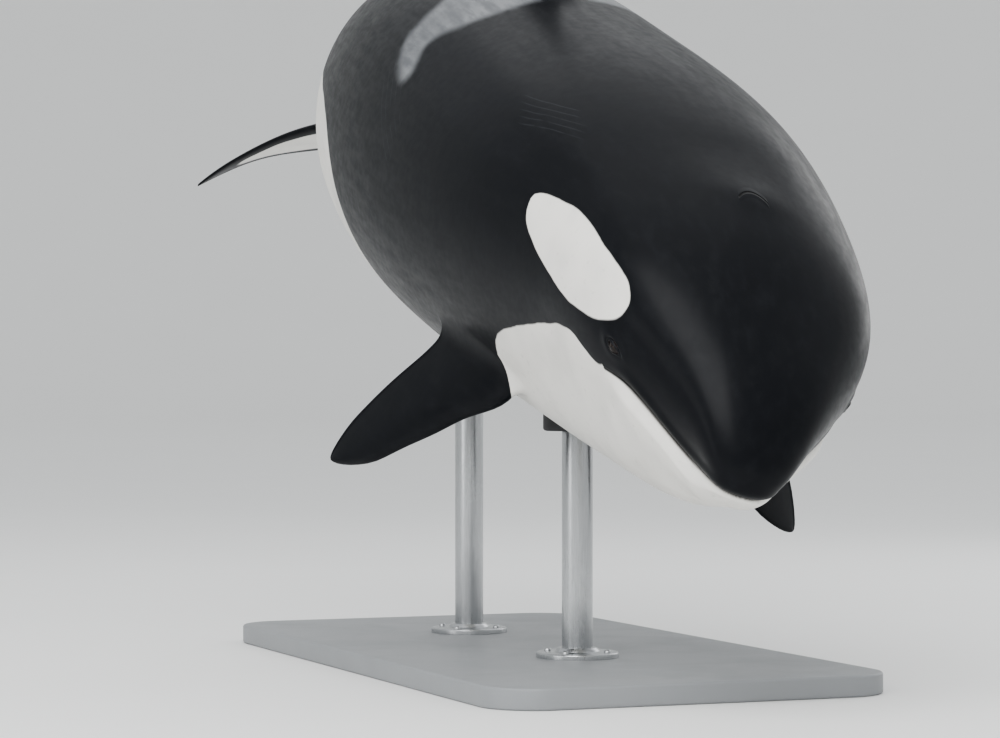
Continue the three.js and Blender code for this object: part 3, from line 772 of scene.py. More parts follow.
def add_fin(mesh, grid, name):
    """Joins a fin to the border of its window: plain rings, a fillet, the fin and its tip."""
    fin = FINS[name]
    *reaches, reach_up = (reach / BODY_LENGTH for reach in FILLETS[kind_of(name)])
    window = grid.windows[name]
    count = len(window.border)
    x, sign = fin_sheet(count)
    root_v = root_places(fin, x, sign)
    root = fin.point(root_v, x, sign)
    radius = mean_radius(station_at(root[:, 0].mean()))
    oval = oval_about(root, radius, window.turn, *reaches)
    t, theta = station_at(np.minimum(oval[:, 0], FILLET_LAST_S)), oval[:, 1] / radius

    # the border is begun where it lies closest to the oval, so that the rings between don't shear
    _, border_t, border_theta = grid.border(name)
    border = np.stack([station_place(border_t), border_theta * radius], axis=-1)
    gaps = [((np.roll(border, k, axis=0) - oval) ** 2).sum() for k in range(count)]
    numbers, border_t, border_theta = grid.border(name, int(np.argmin(gaps)))
    sleeve = Sleeve(mesh, numbers, body_unwrap(border_t, border_theta))
    sleeve.grow_towards((border_t, border_theta), (t, theta), np.arange(1, PLAIN_RINGS + 1) / PLAIN_RINGS)

    before = skin_point(t, theta)
    lift = np.zeros(count)
    sleeve.corners = fin_unwrap(name, before, lift)
    lower_face = np.arange(count) >= count // 2
    sleeve.corner_steps = np.where(lower_face, UV_FACE_STEPS[kind_of(name)] / UV_METRES, 0.0)
    parts = {"station": t, "theta": theta, "fin": FIN_CODES[name], "chord": x}
    for points, v, grown in fin_rings(fin, x, sign, root_v, root, before, skin_normal(t, theta), reach_up):
        lift = lift + np.linalg.norm(points - before, axis=-1) * BODY_LENGTH
        before = points
        sleeve.grow(points, fin_unwrap(name, points, lift), **parts, lift=lift, span=v, face=sign * grown)
    tip = points.mean(0, keepdims=True)
    sleeve.close(
        tip, fin_unwrap(name, tip, lift.mean(keepdims=True))[0], station=t.mean(), theta=theta.mean(),
        fin=FIN_CODES[name], lift=lift.mean(), chord=0.5, span=1.0,
    )


# rings around an eye, in millimetres: half length, half height,
# and height above the skin on the side below the eye and on the side above it
EYE_MOUND = [
    (60, 48, 0.0, 0.0), (51, 40, 0.5, 0.9), (43, 33, 1.2, 2.6), (37, 27.5, 1.6, 3.9), (32.5, 23, 1.5, 4.0),
    (29.5, 19.8, 1.2, 2.4), (27.8, 17.9, 1.1, 1.0), (26.2, 16.4, 1.3, 1.3), (24.4, 14.8, 2.0, 3.0),
]
# rings of the lids: half length, half height, and height above the eyeball below and above
EYE_LIDS = [
    (22.4, 13.2, 2.0, 3.4), (20.8, 11.8, 1.9, 3.2), (19.4, 10.7, 1.5, 2.6), (18.5, 10.0, 0.9, 1.8),
    (18.0, 9.6, 0.4, 0.7),
]
# rings that close the skin inside the eyeball
EYE_POCKET = [(16.8, 8.8, -2.5, -2.5), (14, 7, -9.0, -9.0)]
EYE_TILT = 9 * RADIANS


def add_eye(mesh, grid, name):
    """Fills an eye's window with a low mound, the fold round the lids and the lids themselves."""
    side = EYES[name]
    centre_t, centre_theta = station_at(EYE_S), EYE_DEGREES * RADIANS * side
    step = 1e-3
    turned = plain_skin(centre_t, centre_theta + step) - plain_skin(centre_t, centre_theta)
    radius = np.linalg.norm(turned) / step * BODY_LENGTH
    numbers, border_t, border_theta = grid.border(name)
    angle = np.arange(len(numbers)) / len(numbers) * 2 * np.pi
    upper = smooth_step(0.5 + 0.6 * np.sin(angle + 0.35))

    def ring_at(length, height):
        """Station and angle of an almond's points about the eye's middle, and their distances to it."""
        shape = np.abs(np.sin(angle)) ** 1.15 * np.sign(np.sin(angle))
        back = length * np.cos(angle) * (1 + 0.03 * np.sin(2 * angle + 0.6))
        up = height * (shape * np.where(shape > 0, 1.0, 0.86) + 0.05 * np.sin(2 * angle))
        turned_back = back * math.cos(EYE_TILT) - up * math.sin(EYE_TILT)
        turned_up = up * math.cos(EYE_TILT) + back * math.sin(EYE_TILT)
        t = station_at(EYE_S + turned_back / 1000 / BODY_LENGTH)
        return t, centre_theta - side * turned_up / 1000 / radius, np.hypot(back, up) / 1000

    sleeve = Sleeve(mesh, numbers, body_unwrap(border_t, border_theta))
    sleeve.grow_towards((border_t, border_theta), ring_at(*EYE_MOUND[0][:2])[:2], (0.35, 0.7))
    for length, height, low, high in EYE_MOUND:
        t, theta, _ = ring_at(length, height)
        sleeve.grow_over_body(t, theta, (low + (high - low) * upper) / 1000)
    for k, (length, height, low, high) in enumerate(EYE_LIDS + EYE_POCKET):
        t, theta, distance = ring_at(length, height)
        ball = np.sqrt(np.maximum(EYE_RADIUS ** 2 - distance ** 2, 0)) - EYE_DEPTH
        clear = low + (high - low) * upper
        lift = ball + clear / 1000
        if low > 0:
            lift = np.maximum(lift, (1.0 + clear * 0.3) / 1000)
        sleeve.grow_over_body(t, theta, lift, 0.0 if k < 2 else 1.0)
    t, theta = t.mean(), theta.mean()
    sleeve.close(skin_point(t, theta, lift.mean()), body_unwrap(t, theta), station=t, theta=theta, rim=1.0)


def add_body(mesh, grid):
    """The body's grid of faces, but for the windows, and its two ends."""
    stations, theta, numbers = grid.stations, grid.theta, grid.numbers
    rows, columns = np.meshgrid(np.arange(len(stations)), np.arange(AROUND), indexing="ij")
    used = rows > 0
    open_cell = np.zeros(rows.shape, bool)
    for window in grid.windows.values():
        open_cell |= window.holds(rows, columns)
        used &= ~window.holds_point(rows, columns)
    t_used, theta_used = stations[rows[used]], theta[:, :AROUND][used]
    numbers[used] = mesh.add(skin_point(t_used, theta_used), station=t_used, theta=theta_used)

    i, j = np.nonzero(~open_cell[1:-1])
    i = i + 1
    k = (j + 1) % AROUND
    quads = np.stack([numbers[i, j], numbers[i + 1, j], numbers[i + 1, k], numbers[i, k]], axis=-1)
    places = [(i, j), (i + 1, j), (i + 1, j + 1), (i, j + 1)]
    mesh.add_faces(quads, np.stack([body_unwrap(stations[a], theta[a, b]) for a, b in places], axis=1))

    def cap(row, rings, pole):
        """Rounds off an end: rings and then a fan to the pole."""
        inner = numbers[row]
        corner = body_unwrap(stations[row], theta[row])
        left, right = corner[:-1], corner[1:]
        for points in rings:
            ring = mesh.add(points, station=stations[row], theta=theta[row, :AROUND])
            mesh.add_faces(strip(inner, ring), np.stack([left, right, right, left], axis=1))
            inner = ring
        middle = mesh.add(pole, station=stations[row])
        mesh.add_faces(fan(inner, middle[0]), np.stack([left, right, left], axis=1))

    cap(1, [], plain_skin(0.0, 0.0))
    end = skin_point(stations[-1], theta[-1, :AROUND])
    middle = end.mean(0)
    bulge = np.array([TAIL_END_BULGE, 0, 0])
    angles = np.array((25, 50, 72)) * RADIANS
    rounding = [middle + (end - middle) * math.cos(angle) + bulge * math.sin(angle) for angle in angles]
    cap(len(stations) - 1, rounding, middle + bulge)


def build_skin():
    """The whole skin in straight-body coordinates."""
    mesh = SkinMesh()
    grid = Grid()
    add_body(mesh, grid)
    for name in FINS:
        add_fin(mesh, grid, name)
    for name in EYES:
        add_eye(mesh, grid, name)
    return mesh


# Markings, as outlines in distance back and degrees from the top

EYE_PATCH_REAR = [
    (0.163, 57.5), (0.177, 60), (0.183, 63.5), (0.178, 71.5), (0.164, 77), (0.145, 81.5), (0.126, 84.5),
]
RIGHT_EYE_PATCH = EYE_PATCH_REAR + [
    (0.107, 84), (0.0905, 80), (0.0785, 72), (0.0773, 62), (0.085, 56), (0.100, 55), (0.120, 55),
    (0.141, 55),
]
LEFT_EYE_PATCH = EYE_PATCH_REAR + [
    (0.109, 84.5), (0.0965, 81.5), (0.0925, 77.5), (0.0965, 73), (0.104, 68.5), (0.113, 63.5),
    (0.124, 59.5), (0.141, 56.5),
]
BELLY_WHITE = [
    (-0.02, 60), (0.048, 76.5), (0.079, 94), (0.088, 99.5), (0.0936, 100), (0.101, 98.5), (0.114, 96),
    (0.129, 97), (0.146, 100.5), (0.170, 105), (0.192, 109), (0.208, 112), (0.222, 117), (0.230, 124),
    (0.240, 133), (0.251, 144), (0.272, 153), (0.300, 158), (0.335, 160), (0.365, 157), (0.388, 149),
    (0.408, 138), (0.430, 125), (0.450, 108), (0.468, 94), (0.492, 84), (0.540, 77), (0.585, 74),
    (0.630, 74), (0.668, 78), (0.682, 86), (0.668, 100), (0.640, 118), (0.618, 136), (0.622, 150),
    (0.650, 160), (0.690, 166), (0.725, 172), (0.745, 182), (0.700, 205), (0.400, 215), (0.100, 215),
    (-0.02, 200),
]
SADDLE = [
    (0.420, -12), (0.400, 0), (0.372, 5), (0.361, 8), (0.360, 14.5), (0.362, 21), (0.365, 27),
    (0.370, 33.5), (0.377, 39.5), (0.3785, 44.5), (0.3745, 49), (0.371, 54), (0.374, 57), (0.381, 56.5),
    (0.393, 54), (0.403, 49.5), (0.408, 44.5), (0.411, 39), (0.412, 34), (0.415, 29), (0.424, 25),
    (0.445, 23), (0.475, 23), (0.510, 23), (0.545, 21), (0.575, 15), (0.595, 7), (0.602, 0), (0.600, -12),
]


def marking(outline, t, theta):
    """Distance to a marking's edge over the skin, in metres, less than zero inside it."""
    s, degrees = closed_curve(outline).T
    around = over_body(station_at(np.maximum(s, 0)), degrees * RADIANS)[1]
    return signed_distance(*over_body(t, np.abs(theta)), np.stack([s * BODY_LENGTH, around], axis=-1))


def fluke_white(mesh):
    """Distance to the edge of the white under the flukes, less than zero inside it."""
    chord = np.abs(mesh.part("chord") - 0.53) / 0.35
    span = np.abs(mesh.part("span") - 0.45) / 0.35
    face = mesh.part("face")
    inside = 0.055 * (1 - (chord ** 2.4 + span ** 2.4) ** (1 / 2.4))
    inside = np.where(face < 0, np.minimum(inside, -face * 0.20 - 0.16), -0.05)
    return np.where(mesh.part("fin") >= FIN_CODES["fluke_right"], -inside, 0.5)


def skin_attributes(mesh):
    """What the skin's material reads: metres to the markings' edges and the mouth line, and the lids' rims."""
    t, theta, lift = mesh.part("station"), mesh.part("theta"), mesh.part("lift")
    s = station_place(t)
    over = above_mouth(t, theta)
    patch = np.where(theta > 0, marking(RIGHT_EYE_PATCH, t, theta), marking(LEFT_EYE_PATCH, t, theta))
    # the belly's white stops at the mouth line, and fades out up a fin
    off_mouth = smooth_step(s, MOUTH_CORNER, 0.004)
    lower_jaw = np.where(s < MOUTH_CORNER + 0.004, over - off_mouth * 0.2, -1)
    belly = np.maximum(marking(BELLY_WHITE, t, theta) + lift * 1.5, lower_jaw)
    past_corner = np.maximum(s - MOUTH_CORNER + 0.001, 0) * BODY_LENGTH
    off_head = (mesh.part("fin") > 0) | (s > 0.14)
    return {
        "white": np.minimum(np.minimum(patch, belly), fluke_white(mesh)),
        "grey": marking(SADDLE, t, theta) + lift * 4.0,
        "mouth": np.where(off_head, 0.5, np.hypot(over, past_corner)),
        "rim": mesh.part("rim"),
    }


def link(data):
    made = bpy.data.objects.new(data.name, data)
    bpy.context.scene.collection.objects.link(made)
    return made


def skin_object():
    """The skin with its unwrap and its attributes: rest and over_skin are places on the straight body."""
    mesh = build_skin()
    points = np.concatenate(mesh.points)
    data = bpy.data.meshes.new("orca_skin")
    data.from_pydata(place(points).tolist(), [], mesh.faces)
    data.uv_layers.new(name="OFBake").data.foreach_set("uv", np.concatenate(mesh.corners).ravel())
    over_skin = np.stack([*over_body(mesh.part("station"), mesh.part("theta")), mesh.part("lift")], axis=-1)
    for name, vectors in (("rest", points * BODY_LENGTH), ("over_skin", over_skin)):
        data.attributes.new(name, "FLOAT_VECTOR", "POINT").data.foreach_set("vector", vectors.ravel())
    for name, values in skin_attributes(mesh).items():
        data.attributes.new(name, "FLOAT", "POINT").data.foreach_set("value", values)
    shape = bmesh.new()
    shape.from_mesh(data)
    bmesh.ops.recalc_face_normals(shape, faces=shape.faces)
    shape.to_mesh(data)
    shape.free()
    data.shade_smooth()
    return link(data)


# Materials

class Value:
    """A number, vector or colour that a material's nodes give; arithmetic with it adds nodes."""

    def __init__(self, shades, socket):
        self.shades = shades
        self.socket = socket

    def math(self, operation, other=None):
        return self.shades.node("Math", {0: self, 1: other}, operation=operation)

    def __add__(self, other):
        return self.math("ADD", other)

    def __sub__(self, other):
        return self.math("SUBTRACT", other)

    def __mul__(self, other):
        return self.math("MULTIPLY", other)

    def __truediv__(self, other):
        return self.math("DIVIDE", other)

    def __pow__(self, other):
        return self.math("POWER", other)

    def __abs__(self):
        return self.math("ABSOLUTE")

    def ramp(self, low, high, to_low=0.0, to_high=1.0):
        """Goes smoothly from one number to another while this value goes from low to high."""
        inputs = {"Value": self, "From Min": low, "From Max": high, "To Min": to_low, "To Max": to_high}
        return self.shades.node("MapRange", inputs, "Result", interpolation_type="SMOOTHSTEP")

    def fade(self, low, high):
        """Goes smoothly from 1 to 0 while this value goes from low to high."""
        return self.ramp(low, high, 1.0, 0.0)


class Shades:
    """Short ways to build one material's nodes."""

    def __init__(self, name):
        self.material = bpy.data.materials.new(name)
        self.material.use_nodes = True
        self.tree = self.material.node_tree
        self.shader = self.tree.nodes["Principled BSDF"]

    def put(self, socket, value):
        """Links a value to a socket, or sets the socket to a number, vector or colour."""
        if isinstance(value, Value):
            self.tree.links.new(value.socket, socket)
        elif value is not None:
            socket.default_value = (*value, 1.0) if socket.type == "RGBA" else value

    def node(self, kind, inputs, output=0, **settings):
        """Adds a node with its settings and its inputs, by name or number, and gives one of its outputs."""
        node = self.tree.nodes.new(f"ShaderNode{kind}")
        for name, setting in settings.items():
            setattr(node, name, setting)
        for key, value in inputs.items():
            self.put(node.inputs[key], value)
        return Value(self, node.outputs[output])

    def attribute(self, name, output="Fac"):
        return self.node("Attribute", {}, output, attribute_name=name)

    def object_place(self):
        return self.node("TexCoord", {}, "Object")

    def scaled(self, vector, scale):
        return self.node("VectorMath", {0: vector, 1: scale}, operation="MULTIPLY")

    def turned_about(self, vector, spot, degrees):
        """The vector seen from a spot of the skin, turned by an angle in its plane."""
        inputs = {"Vector": vector, "Location": (*spot, 0.0), "Rotation": (0.0, 0.0, degrees * RADIANS)}
        return self.node("Mapping", inputs, vector_type="TEXTURE")

    def split(self, vector):
        first = self.node("SeparateXYZ", {0: vector})
        return [Value(self, output) for output in first.socket.node.outputs]

    def noise(self, vector, scale, detail=3.0, roughness=0.5, distortion=0.0):
        inputs = {"Vector": vector, "Scale": scale, "Detail": detail, "Roughness": roughness}
        return self.node("TexNoise", {**inputs, "Distortion": distortion}, "Fac")

    def mix(self, share, a, b):
        """Colour a where the share is 0, b where it is 1."""
        return self.node("Mix", {"Factor": share, 6: a, 7: b}, 2, data_type="RGBA")

    def bump(self, height, distance, strength, below=None):
        inputs = {"Height": height, "Distance": distance, "Strength": strength, "Normal": below}
        return self.node("Bump", inputs, "Normal")

    def finish(self, **inputs):
        """Sets the shader's inputs, whose names have _ for a space here."""
        for name, value in inputs.items():
            self.put(self.shader.inputs[name.replace("_", " ")], value)
        return self.material


def strongest(values):
    """The largest of several values at each spot."""
    largest = values[0]
    for value in values[1:]:
        largest = largest.math("MAXIMUM", value)
    return largest


BLACK = (0.0060, 0.0068, 0.0088)
BLACK_WORN = (0.0100, 0.0110, 0.0134)
BLACK_SCRATCH = (0.050, 0.054, 0.060)
WHITE = (0.800, 0.785, 0.745)
WHITE_DULL = (0.640, 0.630, 0.600)
WHITE_FLECK = (0.50, 0.49, 0.46)
WHITE_SCRATCH = (0.36, 0.36, 0.35)
SADDLE_GREY = (0.215, 0.223, 0.232)
SADDLE_DARK = (0.115, 0.121, 0.130)
# painted shade in the crease where the closed lips meet
LIP_CREASE_SHADE = (0.006, 0.006, 0.007)
# painted shade in the slit of the closed blowhole
BLOWHOLE_SLIT_SHADE = (0.003, 0.003, 0.003)
# painted shade in the navel, the vent and the slits beside it
SLIT_SHADE = (0.05, 0.045, 0.045)
LID_RIM = (0.010, 0.008, 0.008)

# sets of old tooth marks: place as distance back and distance around from the top (right side positive),
# direction in degrees, length, number of lines and spacing, in metres
RAKE_MARKS = [
    ((1.15, 0.34), 22, 0.30, 5, 0.022),
    ((1.95, 0.62), -35, 0.42, 6, 0.026),
    ((1.62, -0.40), 40, 0.36, 5, 0.024),
    ((2.75, 0.38), 15, 0.50, 6, 0.025),
    ((2.40, -0.55), -20, 0.45, 5, 0.027),
    ((3.55, 0.25), 30, 0.34, 5, 0.022),
    ((3.20, -0.30), -48, 0.30, 4, 0.022),
    ((0.90, -0.35), 18, 0.24, 4, 0.020),
]
# the crescent of the closed blowhole, in metres
BLOWHOLE_HALF_WIDTH = 0.044
BLOWHOLE_BOW = 0.0286
# navel, vent and the slits beside it: start and end as distance back, and width in metres
BELLY_SLITS = ((0.496, 0.504, 0.0050), (0.604, 0.634, 0.0035), (0.664, 0.670, 0.0040))


def rake_marks(shades, rest):
    """Old marks of teeth: sets of thin parallel lines that drift a little and break off here and there."""
    over_skin = shades.attribute("over_skin", "Vector")
    drift = (shades.noise(rest, 5, 2) - 0.5) * 0.024
    marks = []
    for spot, turn, length, count, spacing in RAKE_MARKS:
        along, across, _ = shades.split(shades.turned_about(over_skin, spot, turn))
        row = (across + along * along * 0.35 + drift) / spacing
        line = abs(row - row.math("ROUND")).fade(0.020, 0.13)
        inside = abs(row).fade(count / 2 - 0.2, count / 2)
        ends = abs(along + row * (spacing * 0.8)).fade(length * 0.30, length * 0.50)
        marks.append(line * inside * ends)
    return strongest(marks) * shades.noise(rest, 9, 2).ramp(0.34, 0.50)


def blowhole_marks(back, right, up):
    """The closed blowhole, a crescent across the top of the head with its ends forward, painted dark as the
    shade in its slit, and its lip.
    """
    share = right / BLOWHOLE_HALF_WIDTH
    off_arc = abs(back + share * share * BLOWHOLE_BOW - BLOWHOLE_S * BODY_LENGTH)
    within = abs(share).fade(0.86, 1.0) * up.ramp(0.0, 0.1)
    return off_arc.fade(0.0015, 0.0055) * within, off_arc.fade(0.004, 0.022) * within


def belly_slits(back, right, up):
    """Short lines on the middle line of the belly, painted dark as the shade in its slits."""
    lines = []
    for start, end, width in BELLY_SLITS:
        middle, half = (start + end) / 2 * BODY_LENGTH, (end - start) / 2 * BODY_LENGTH
        line = abs(right).fade(width * 0.4, width * 1.6)
        lines.append(line * abs(back - middle).fade(half * 0.75, half))
    return strongest(lines) * up.ramp(0.0, -0.1)


def skin_material():
    shades = Shades("orca_skin")
    rest = shades.attribute("rest", "Vector")
    back, right, up = shades.split(rest)
    fine = shades.noise(rest, 42, 2)
    broad = shades.noise(rest, 7, 2)
    streaks = shades.noise(shades.scaled(rest, (0.25, 1.0, 1.0)), 30, 4, 0.6)
    ripple = shades.noise(shades.scaled(rest, (1.0, 0.35, 0.35)), 60, 1)

    # edges of the markings, with a little of the unevenness of real skin
    wobble = (shades.noise(rest, 11, 3, 0.45) - 0.5) * 0.011
    white = (shades.attribute("white") + wobble).ramp(0.0025, -0.0025)
    wisps = (broad - 0.5) * 0.040 + (streaks - 0.5) * 0.030
    grey = (shades.attribute("grey") + wisps).ramp(0.026, -0.026)

    scratches = rake_marks(shades, rest)
    black = shades.mix(streaks.ramp(0.42, 0.85), BLACK, BLACK_WORN)
    black = shades.mix(scratches * 0.30, black, BLACK_SCRATCH)
    saddle = shades.mix(streaks.ramp(0.30, 0.66), SADDLE_DARK, SADDLE_GREY)
    saddle = shades.mix(broad.ramp(0.35, 0.75, 0.0, 0.4), saddle, SADDLE_DARK)
    pale = shades.mix(broad.ramp(0.35, 0.80, 0.0, 0.55), WHITE, WHITE_DULL)
    pale = shades.mix(fine.ramp(0.62, 0.80, 0.0, 0.35), pale, WHITE_FLECK)
    pale = shades.mix(scratches * 0.35, pale, WHITE_SCRATCH)
    colour = shades.mix(white, shades.mix(grey, black, saddle), pale)

    # dark lines of painted shade in the creases of the closed lips, the blowhole's slit and the slits of the
    # belly; and the wet rims of the lids
    lips = shades.attribute("mouth").fade(0.0018, 0.0065)
    blowhole, blowhole_lip = blowhole_marks(back, right, up)
    slits = belly_slits(back, right, up)
    rim = shades.attribute("rim").ramp(0.1, 0.9)
    colour = shades.mix(lips * 0.93, colour, LIP_CREASE_SHADE)
    colour = shades.mix(blowhole * 0.9, colour, BLOWHOLE_SLIT_SHADE)
    colour = shades.mix(slits * 0.75, colour, SLIT_SHADE)
    colour = shades.mix(rim, colour, LID_RIM)

    rough = streaks.ramp(0.25, 0.8, 0.32, 0.42) + fine.ramp(0.3, 0.7, -0.02, 0.03)
    rough = rough + white * 0.06 - rim * 0.16
    normal = shades.bump(broad, 0.010, 0.12)
    normal = shades.bump(ripple, 0.0010, 0.06, normal)
    normal = shades.bump(fine, 0.0030, 0.03, normal)
    normal = shades.bump(blowhole_lip, 0.004, 0.25, normal)
    normal = shades.bump(strongest([lips, blowhole, slits]) * -1.0, 0.0040, 0.8, normal)
    return shades.finish(
        Base_Color=colour, Roughness=rough, Normal=normal, IOR=1.45,
        Specular_IOR_Level=0.14, Coat_Weight=0.05, Coat_Roughness=0.18,
    )


# the eye's colours and, in metres from its middle, half width and half height of iris and pupil
IRIS_DARK = (0.005, 0.003, 0.002)
IRIS_BROWN = (0.022, 0.011, 0.006)
IRIS_RIM = (0.006, 0.004, 0.003)
EYE_WHITE = (0.016, 0.011, 0.010)
EYE_WHITE_DARK = (0.007, 0.005, 0.005)
PUPIL_BLUE = (0.0015, 0.0020, 0.0030)
IRIS_HALF_SIZE = (0.0105, 0.0095)
PUPIL_HALF_SIZE = (0.0056, 0.0040)


def eye_material():
    shades = Shades("eye")
    spot = shades.attribute("gaze", "Vector")
    back, up, _ = shades.split(spot)

    def oval(half_width, half_height):
        return (back / half_width) ** 2.0 + (up / half_height) ** 2.0

    away = oval(*IRIS_HALF_SIZE).math("SQRT")
    spokes = shades.noise(shades.scaled(spot, (1, 1, 0.2)), 520, 4, 0.7, 0.6)
    iris = shades.mix(spokes, IRIS_DARK, IRIS_BROWN)
    iris = shades.mix(away.ramp(0.75, 1.0), iris, IRIS_RIM)
    white = shades.mix(shades.noise(spot, 260, 4, 0.6), EYE_WHITE, EYE_WHITE_DARK)
    colour = shades.mix(away.ramp(1.0, 1.12), iris, white)
    colour = shades.mix(oval(*PUPIL_HALF_SIZE).fade(0.8, 1.1), colour, PUPIL_BLUE)
    normal = shades.bump(spokes, 0.0003, 0.15)
    return shades.finish(
        Base_Color=colour, Roughness=away.ramp(0.9, 1.3, 0.08, 0.18), Normal=normal, IOR=1.40,
        Specular_IOR_Level=0.25, Coat_Weight=0.3, Coat_Roughness=0.04,
    )


def stand_material(name, base, worn, roughness, metallic, grain, grain_scale, bump):
    """Painted or plain metal and rubber of the stand, with grain, faint stains and uneven gloss."""
    shades = Shades(name)
    lines = shades.noise(shades.scaled(shades.object_place(), grain), grain_scale, 4, 0.65)
    stains = shades.noise(shades.object_place(), 3.5, 4, 0.6, 0.4)
    colour = shades.mix(lines.ramp(0.30, 0.75), base, worn)
    colour = shades.mix(stains.ramp(0.55, 0.80, 0.0, 0.35), colour, worn)
    rough = stains.ramp(0.3, 0.8, roughness - 0.05, roughness + 0.07) + lines.ramp(0.3, 0.7, -0.03, 0.03)
    normal = shades.bump(lines, bump, 0.5)
    return shades.finish(Base_Color=colour, Roughness=rough, Normal=normal, Metallic=metallic)


# Making pieces

def shaped(shape, name, crisp=180):
    """An object made from a shape, smooth but where its faces meet at more than an angle in degrees."""
    bmesh.ops.recalc_face_normals(shape, faces=shape.faces)
    shape.normal_update()
    for face in shape.faces:
        face.smooth = True
    for edge in shape.edges:
        edge.smooth = edge.calc_face_angle(0) <= crisp * RADIANS
    data = bpy.data.meshes.new(name)
    shape.to_mesh(data)
    shape.free()
    return link(data)


def ringed(name, rings, ends="open", crisp=35):
    """A piece from rings of places, each joined to the next, with its ends open, faced or joined."""
    shape = bmesh.new()
    rings = [[shape.verts.new(spot) for spot in ring] for ring in rings]
    pairs = list(zip(rings, rings[1:]))
    if ends == "joined":
        pairs.append((rings[-1], rings[0]))
    for a, b in pairs:
        count = max(len(a), len(b))
        for j in range(count):
            k = (j + 1) % count
            corners = [a[j % len(a)], a[k % len(a)], b[k % len(b)], b[j % len(b)]]
            shape.faces.new(list(dict.fromkeys(corners)))
    if ends == "faced":
        shape.faces.new(rings[0])
        shape.faces.new(rings[-1])
    return shaped(shape, name, crisp)


def circle(spot, radius, count):
    """Places once around a spot, or the spot alone if the radius is 0."""
    places = []
    for j in range(count if radius > 0 else 1):
        angle = j / count * 2 * math.pi
        places.append((spot[0] + radius * math.cos(angle), spot[1] + radius * math.sin(angle)))
    return places


def lathe(name, profile, spot, count=96, ends="open"):
    """A turned piece from a profile of radius and height."""
    rings = []
    for radius, height in profile:
        rings.append([(x, y, height) for x, y in circle(spot, radius, count)])
    return ringed(name, rings, ends)


def quarter_round(radius, height, edge, steps=6):
    """Profile of the rounded outer upper edge of a piece."""
    points = []
    for i in range(steps + 1):
        angle = i / steps * math.pi / 2
        points.append((radius - edge + edge * math.cos(angle), height - edge + edge * math.sin(angle)))
    return points


def rounded_side(radius, low, high, edge):
    """Profile of a piece's side with both of its edges rounded."""
    top = quarter_round(radius, high, edge)
    return [(across, low + high - height) for across, height in reversed(top)] + top


# Eyeballs

CORNEA_HEIGHT = 0.0012
CORNEA_RADIUS = 0.010


def eyeball(side):
    """A smooth ball with its pole on the line of sight and a slightly raised cornea."""
    t, theta = station_at(EYE_S), EYE_DEGREES * RADIANS * side
    step = 1e-3
    spot, normal = plain_skin(t, theta), skin_normal(t, theta)
    centre = Vector(place(spot - normal * EYE_DEPTH / BODY_LENGTH))
    gaze = Vector(place(spot + normal * step) - place(spot)).normalized()
    backward = Vector(place(plain_skin(t + step, theta)) - place(spot))
    backward = (backward - gaze * backward.dot(gaze)).normalized()
    upward = gaze.cross(backward) * -side
    shape = bmesh.new()
    bmesh.ops.create_uvsphere(shape, u_segments=64, v_segments=40, radius=EYE_RADIUS)
    gaze_layer = shape.verts.layers.float_vector.new("gaze")
    for vertex in shape.verts:
        x, y, z = vertex.co
        vertex[gaze_layer] = (x, y, z)
        if z > 0:
            z += CORNEA_HEIGHT * math.exp(-(math.hypot(x, y) / CORNEA_RADIUS) ** 4)
        vertex.co = centre + backward * x + upward * y + gaze * z
    return shaped(shape, "eyeball_right" if side > 0 else "eyeball_left")


# The stand

ROD_RADIUS = 0.045
ROD_EDGE = 0.003
FLANGE_GAP = 0.0003
FLANGE_RADIUS = 0.120
FLANGE_PLATE = 0.016
FLANGE_EDGE = 0.005
SCREW_RING_RADIUS = 0.094
# radius and height above the flange, from the bottom of the socket over the head
SCREW_PROFILE = [
    (0, 0.003), (0.0045, 0.003), (0.0048, 0.0078), (0.0062, 0.0082), (0.0085, 0.0070), (0.0100, 0.0045),
    (0.0105, 0.0), (0, 0.0),
]
SADDLE_RADIUS = 0.100
# the pad's rings: radius, height above its foot, share of the way up from there to the belly, and gap there
SADDLE_RINGS = [(0.030, 0, 0, 0), (0.092, 0, 0, 0), (0.097, 0.002, 0, 0), (SADDLE_RADIUS, 0.006, 0, 0)]
SADDLE_RINGS += [(SADDLE_RADIUS, 0, share, 0.010) for share in (0.25, 0.5, 0.75)]
SADDLE_RINGS += [(SADDLE_RADIUS, 0, 1, 0.012), (0.0992, 0, 1, 0.007), (0.0965, 0, 1, 0.003)]
SADDLE_RINGS += [(0.0920, 0, 1, 0.0008)]
SADDLE_RINGS += [(radius, 0, 1, 0.0006) for radius in (0.082, 0.070, 0.055, 0.040, 0.025, 0.012)]
BASE_CORNER = 0.160
BASE_EDGE = 0.008


def spot_of(node):
    low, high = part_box(node)
    return (low.x + high.x) / 2, (low.y + high.y) / 2


def rod_piece(end):
    node = f"stand_rod_{end}"
    low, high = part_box(node)
    profile = [(0, low.z)] + rounded_side(ROD_RADIUS, low.z, high.z, ROD_EDGE) + [(0, high.z)]
    return lathe(f"rod_{end}", profile, spot_of(node))


def flange_piece(end):
    """A round plate with a low neck around its rod."""
    node = f"stand_flange_{end}"
    low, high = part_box(node)
    inner = ROD_RADIUS + FLANGE_GAP
    plate = low.z + FLANGE_PLATE
    neck = [(0.026, plate), (0.020, plate + 0.002), (0.016, high.z - 0.004), (0.012, high.z), (0.0, high.z)]
    profile = [(inner, low.z), (FLANGE_RADIUS, low.z)] + quarter_round(FLANGE_RADIUS, plate, FLANGE_EDGE)
    profile += [(inner + thickness, height) for thickness, height in neck]
    return lathe(f"flange_{end}", profile, spot_of(node), ends="joined")


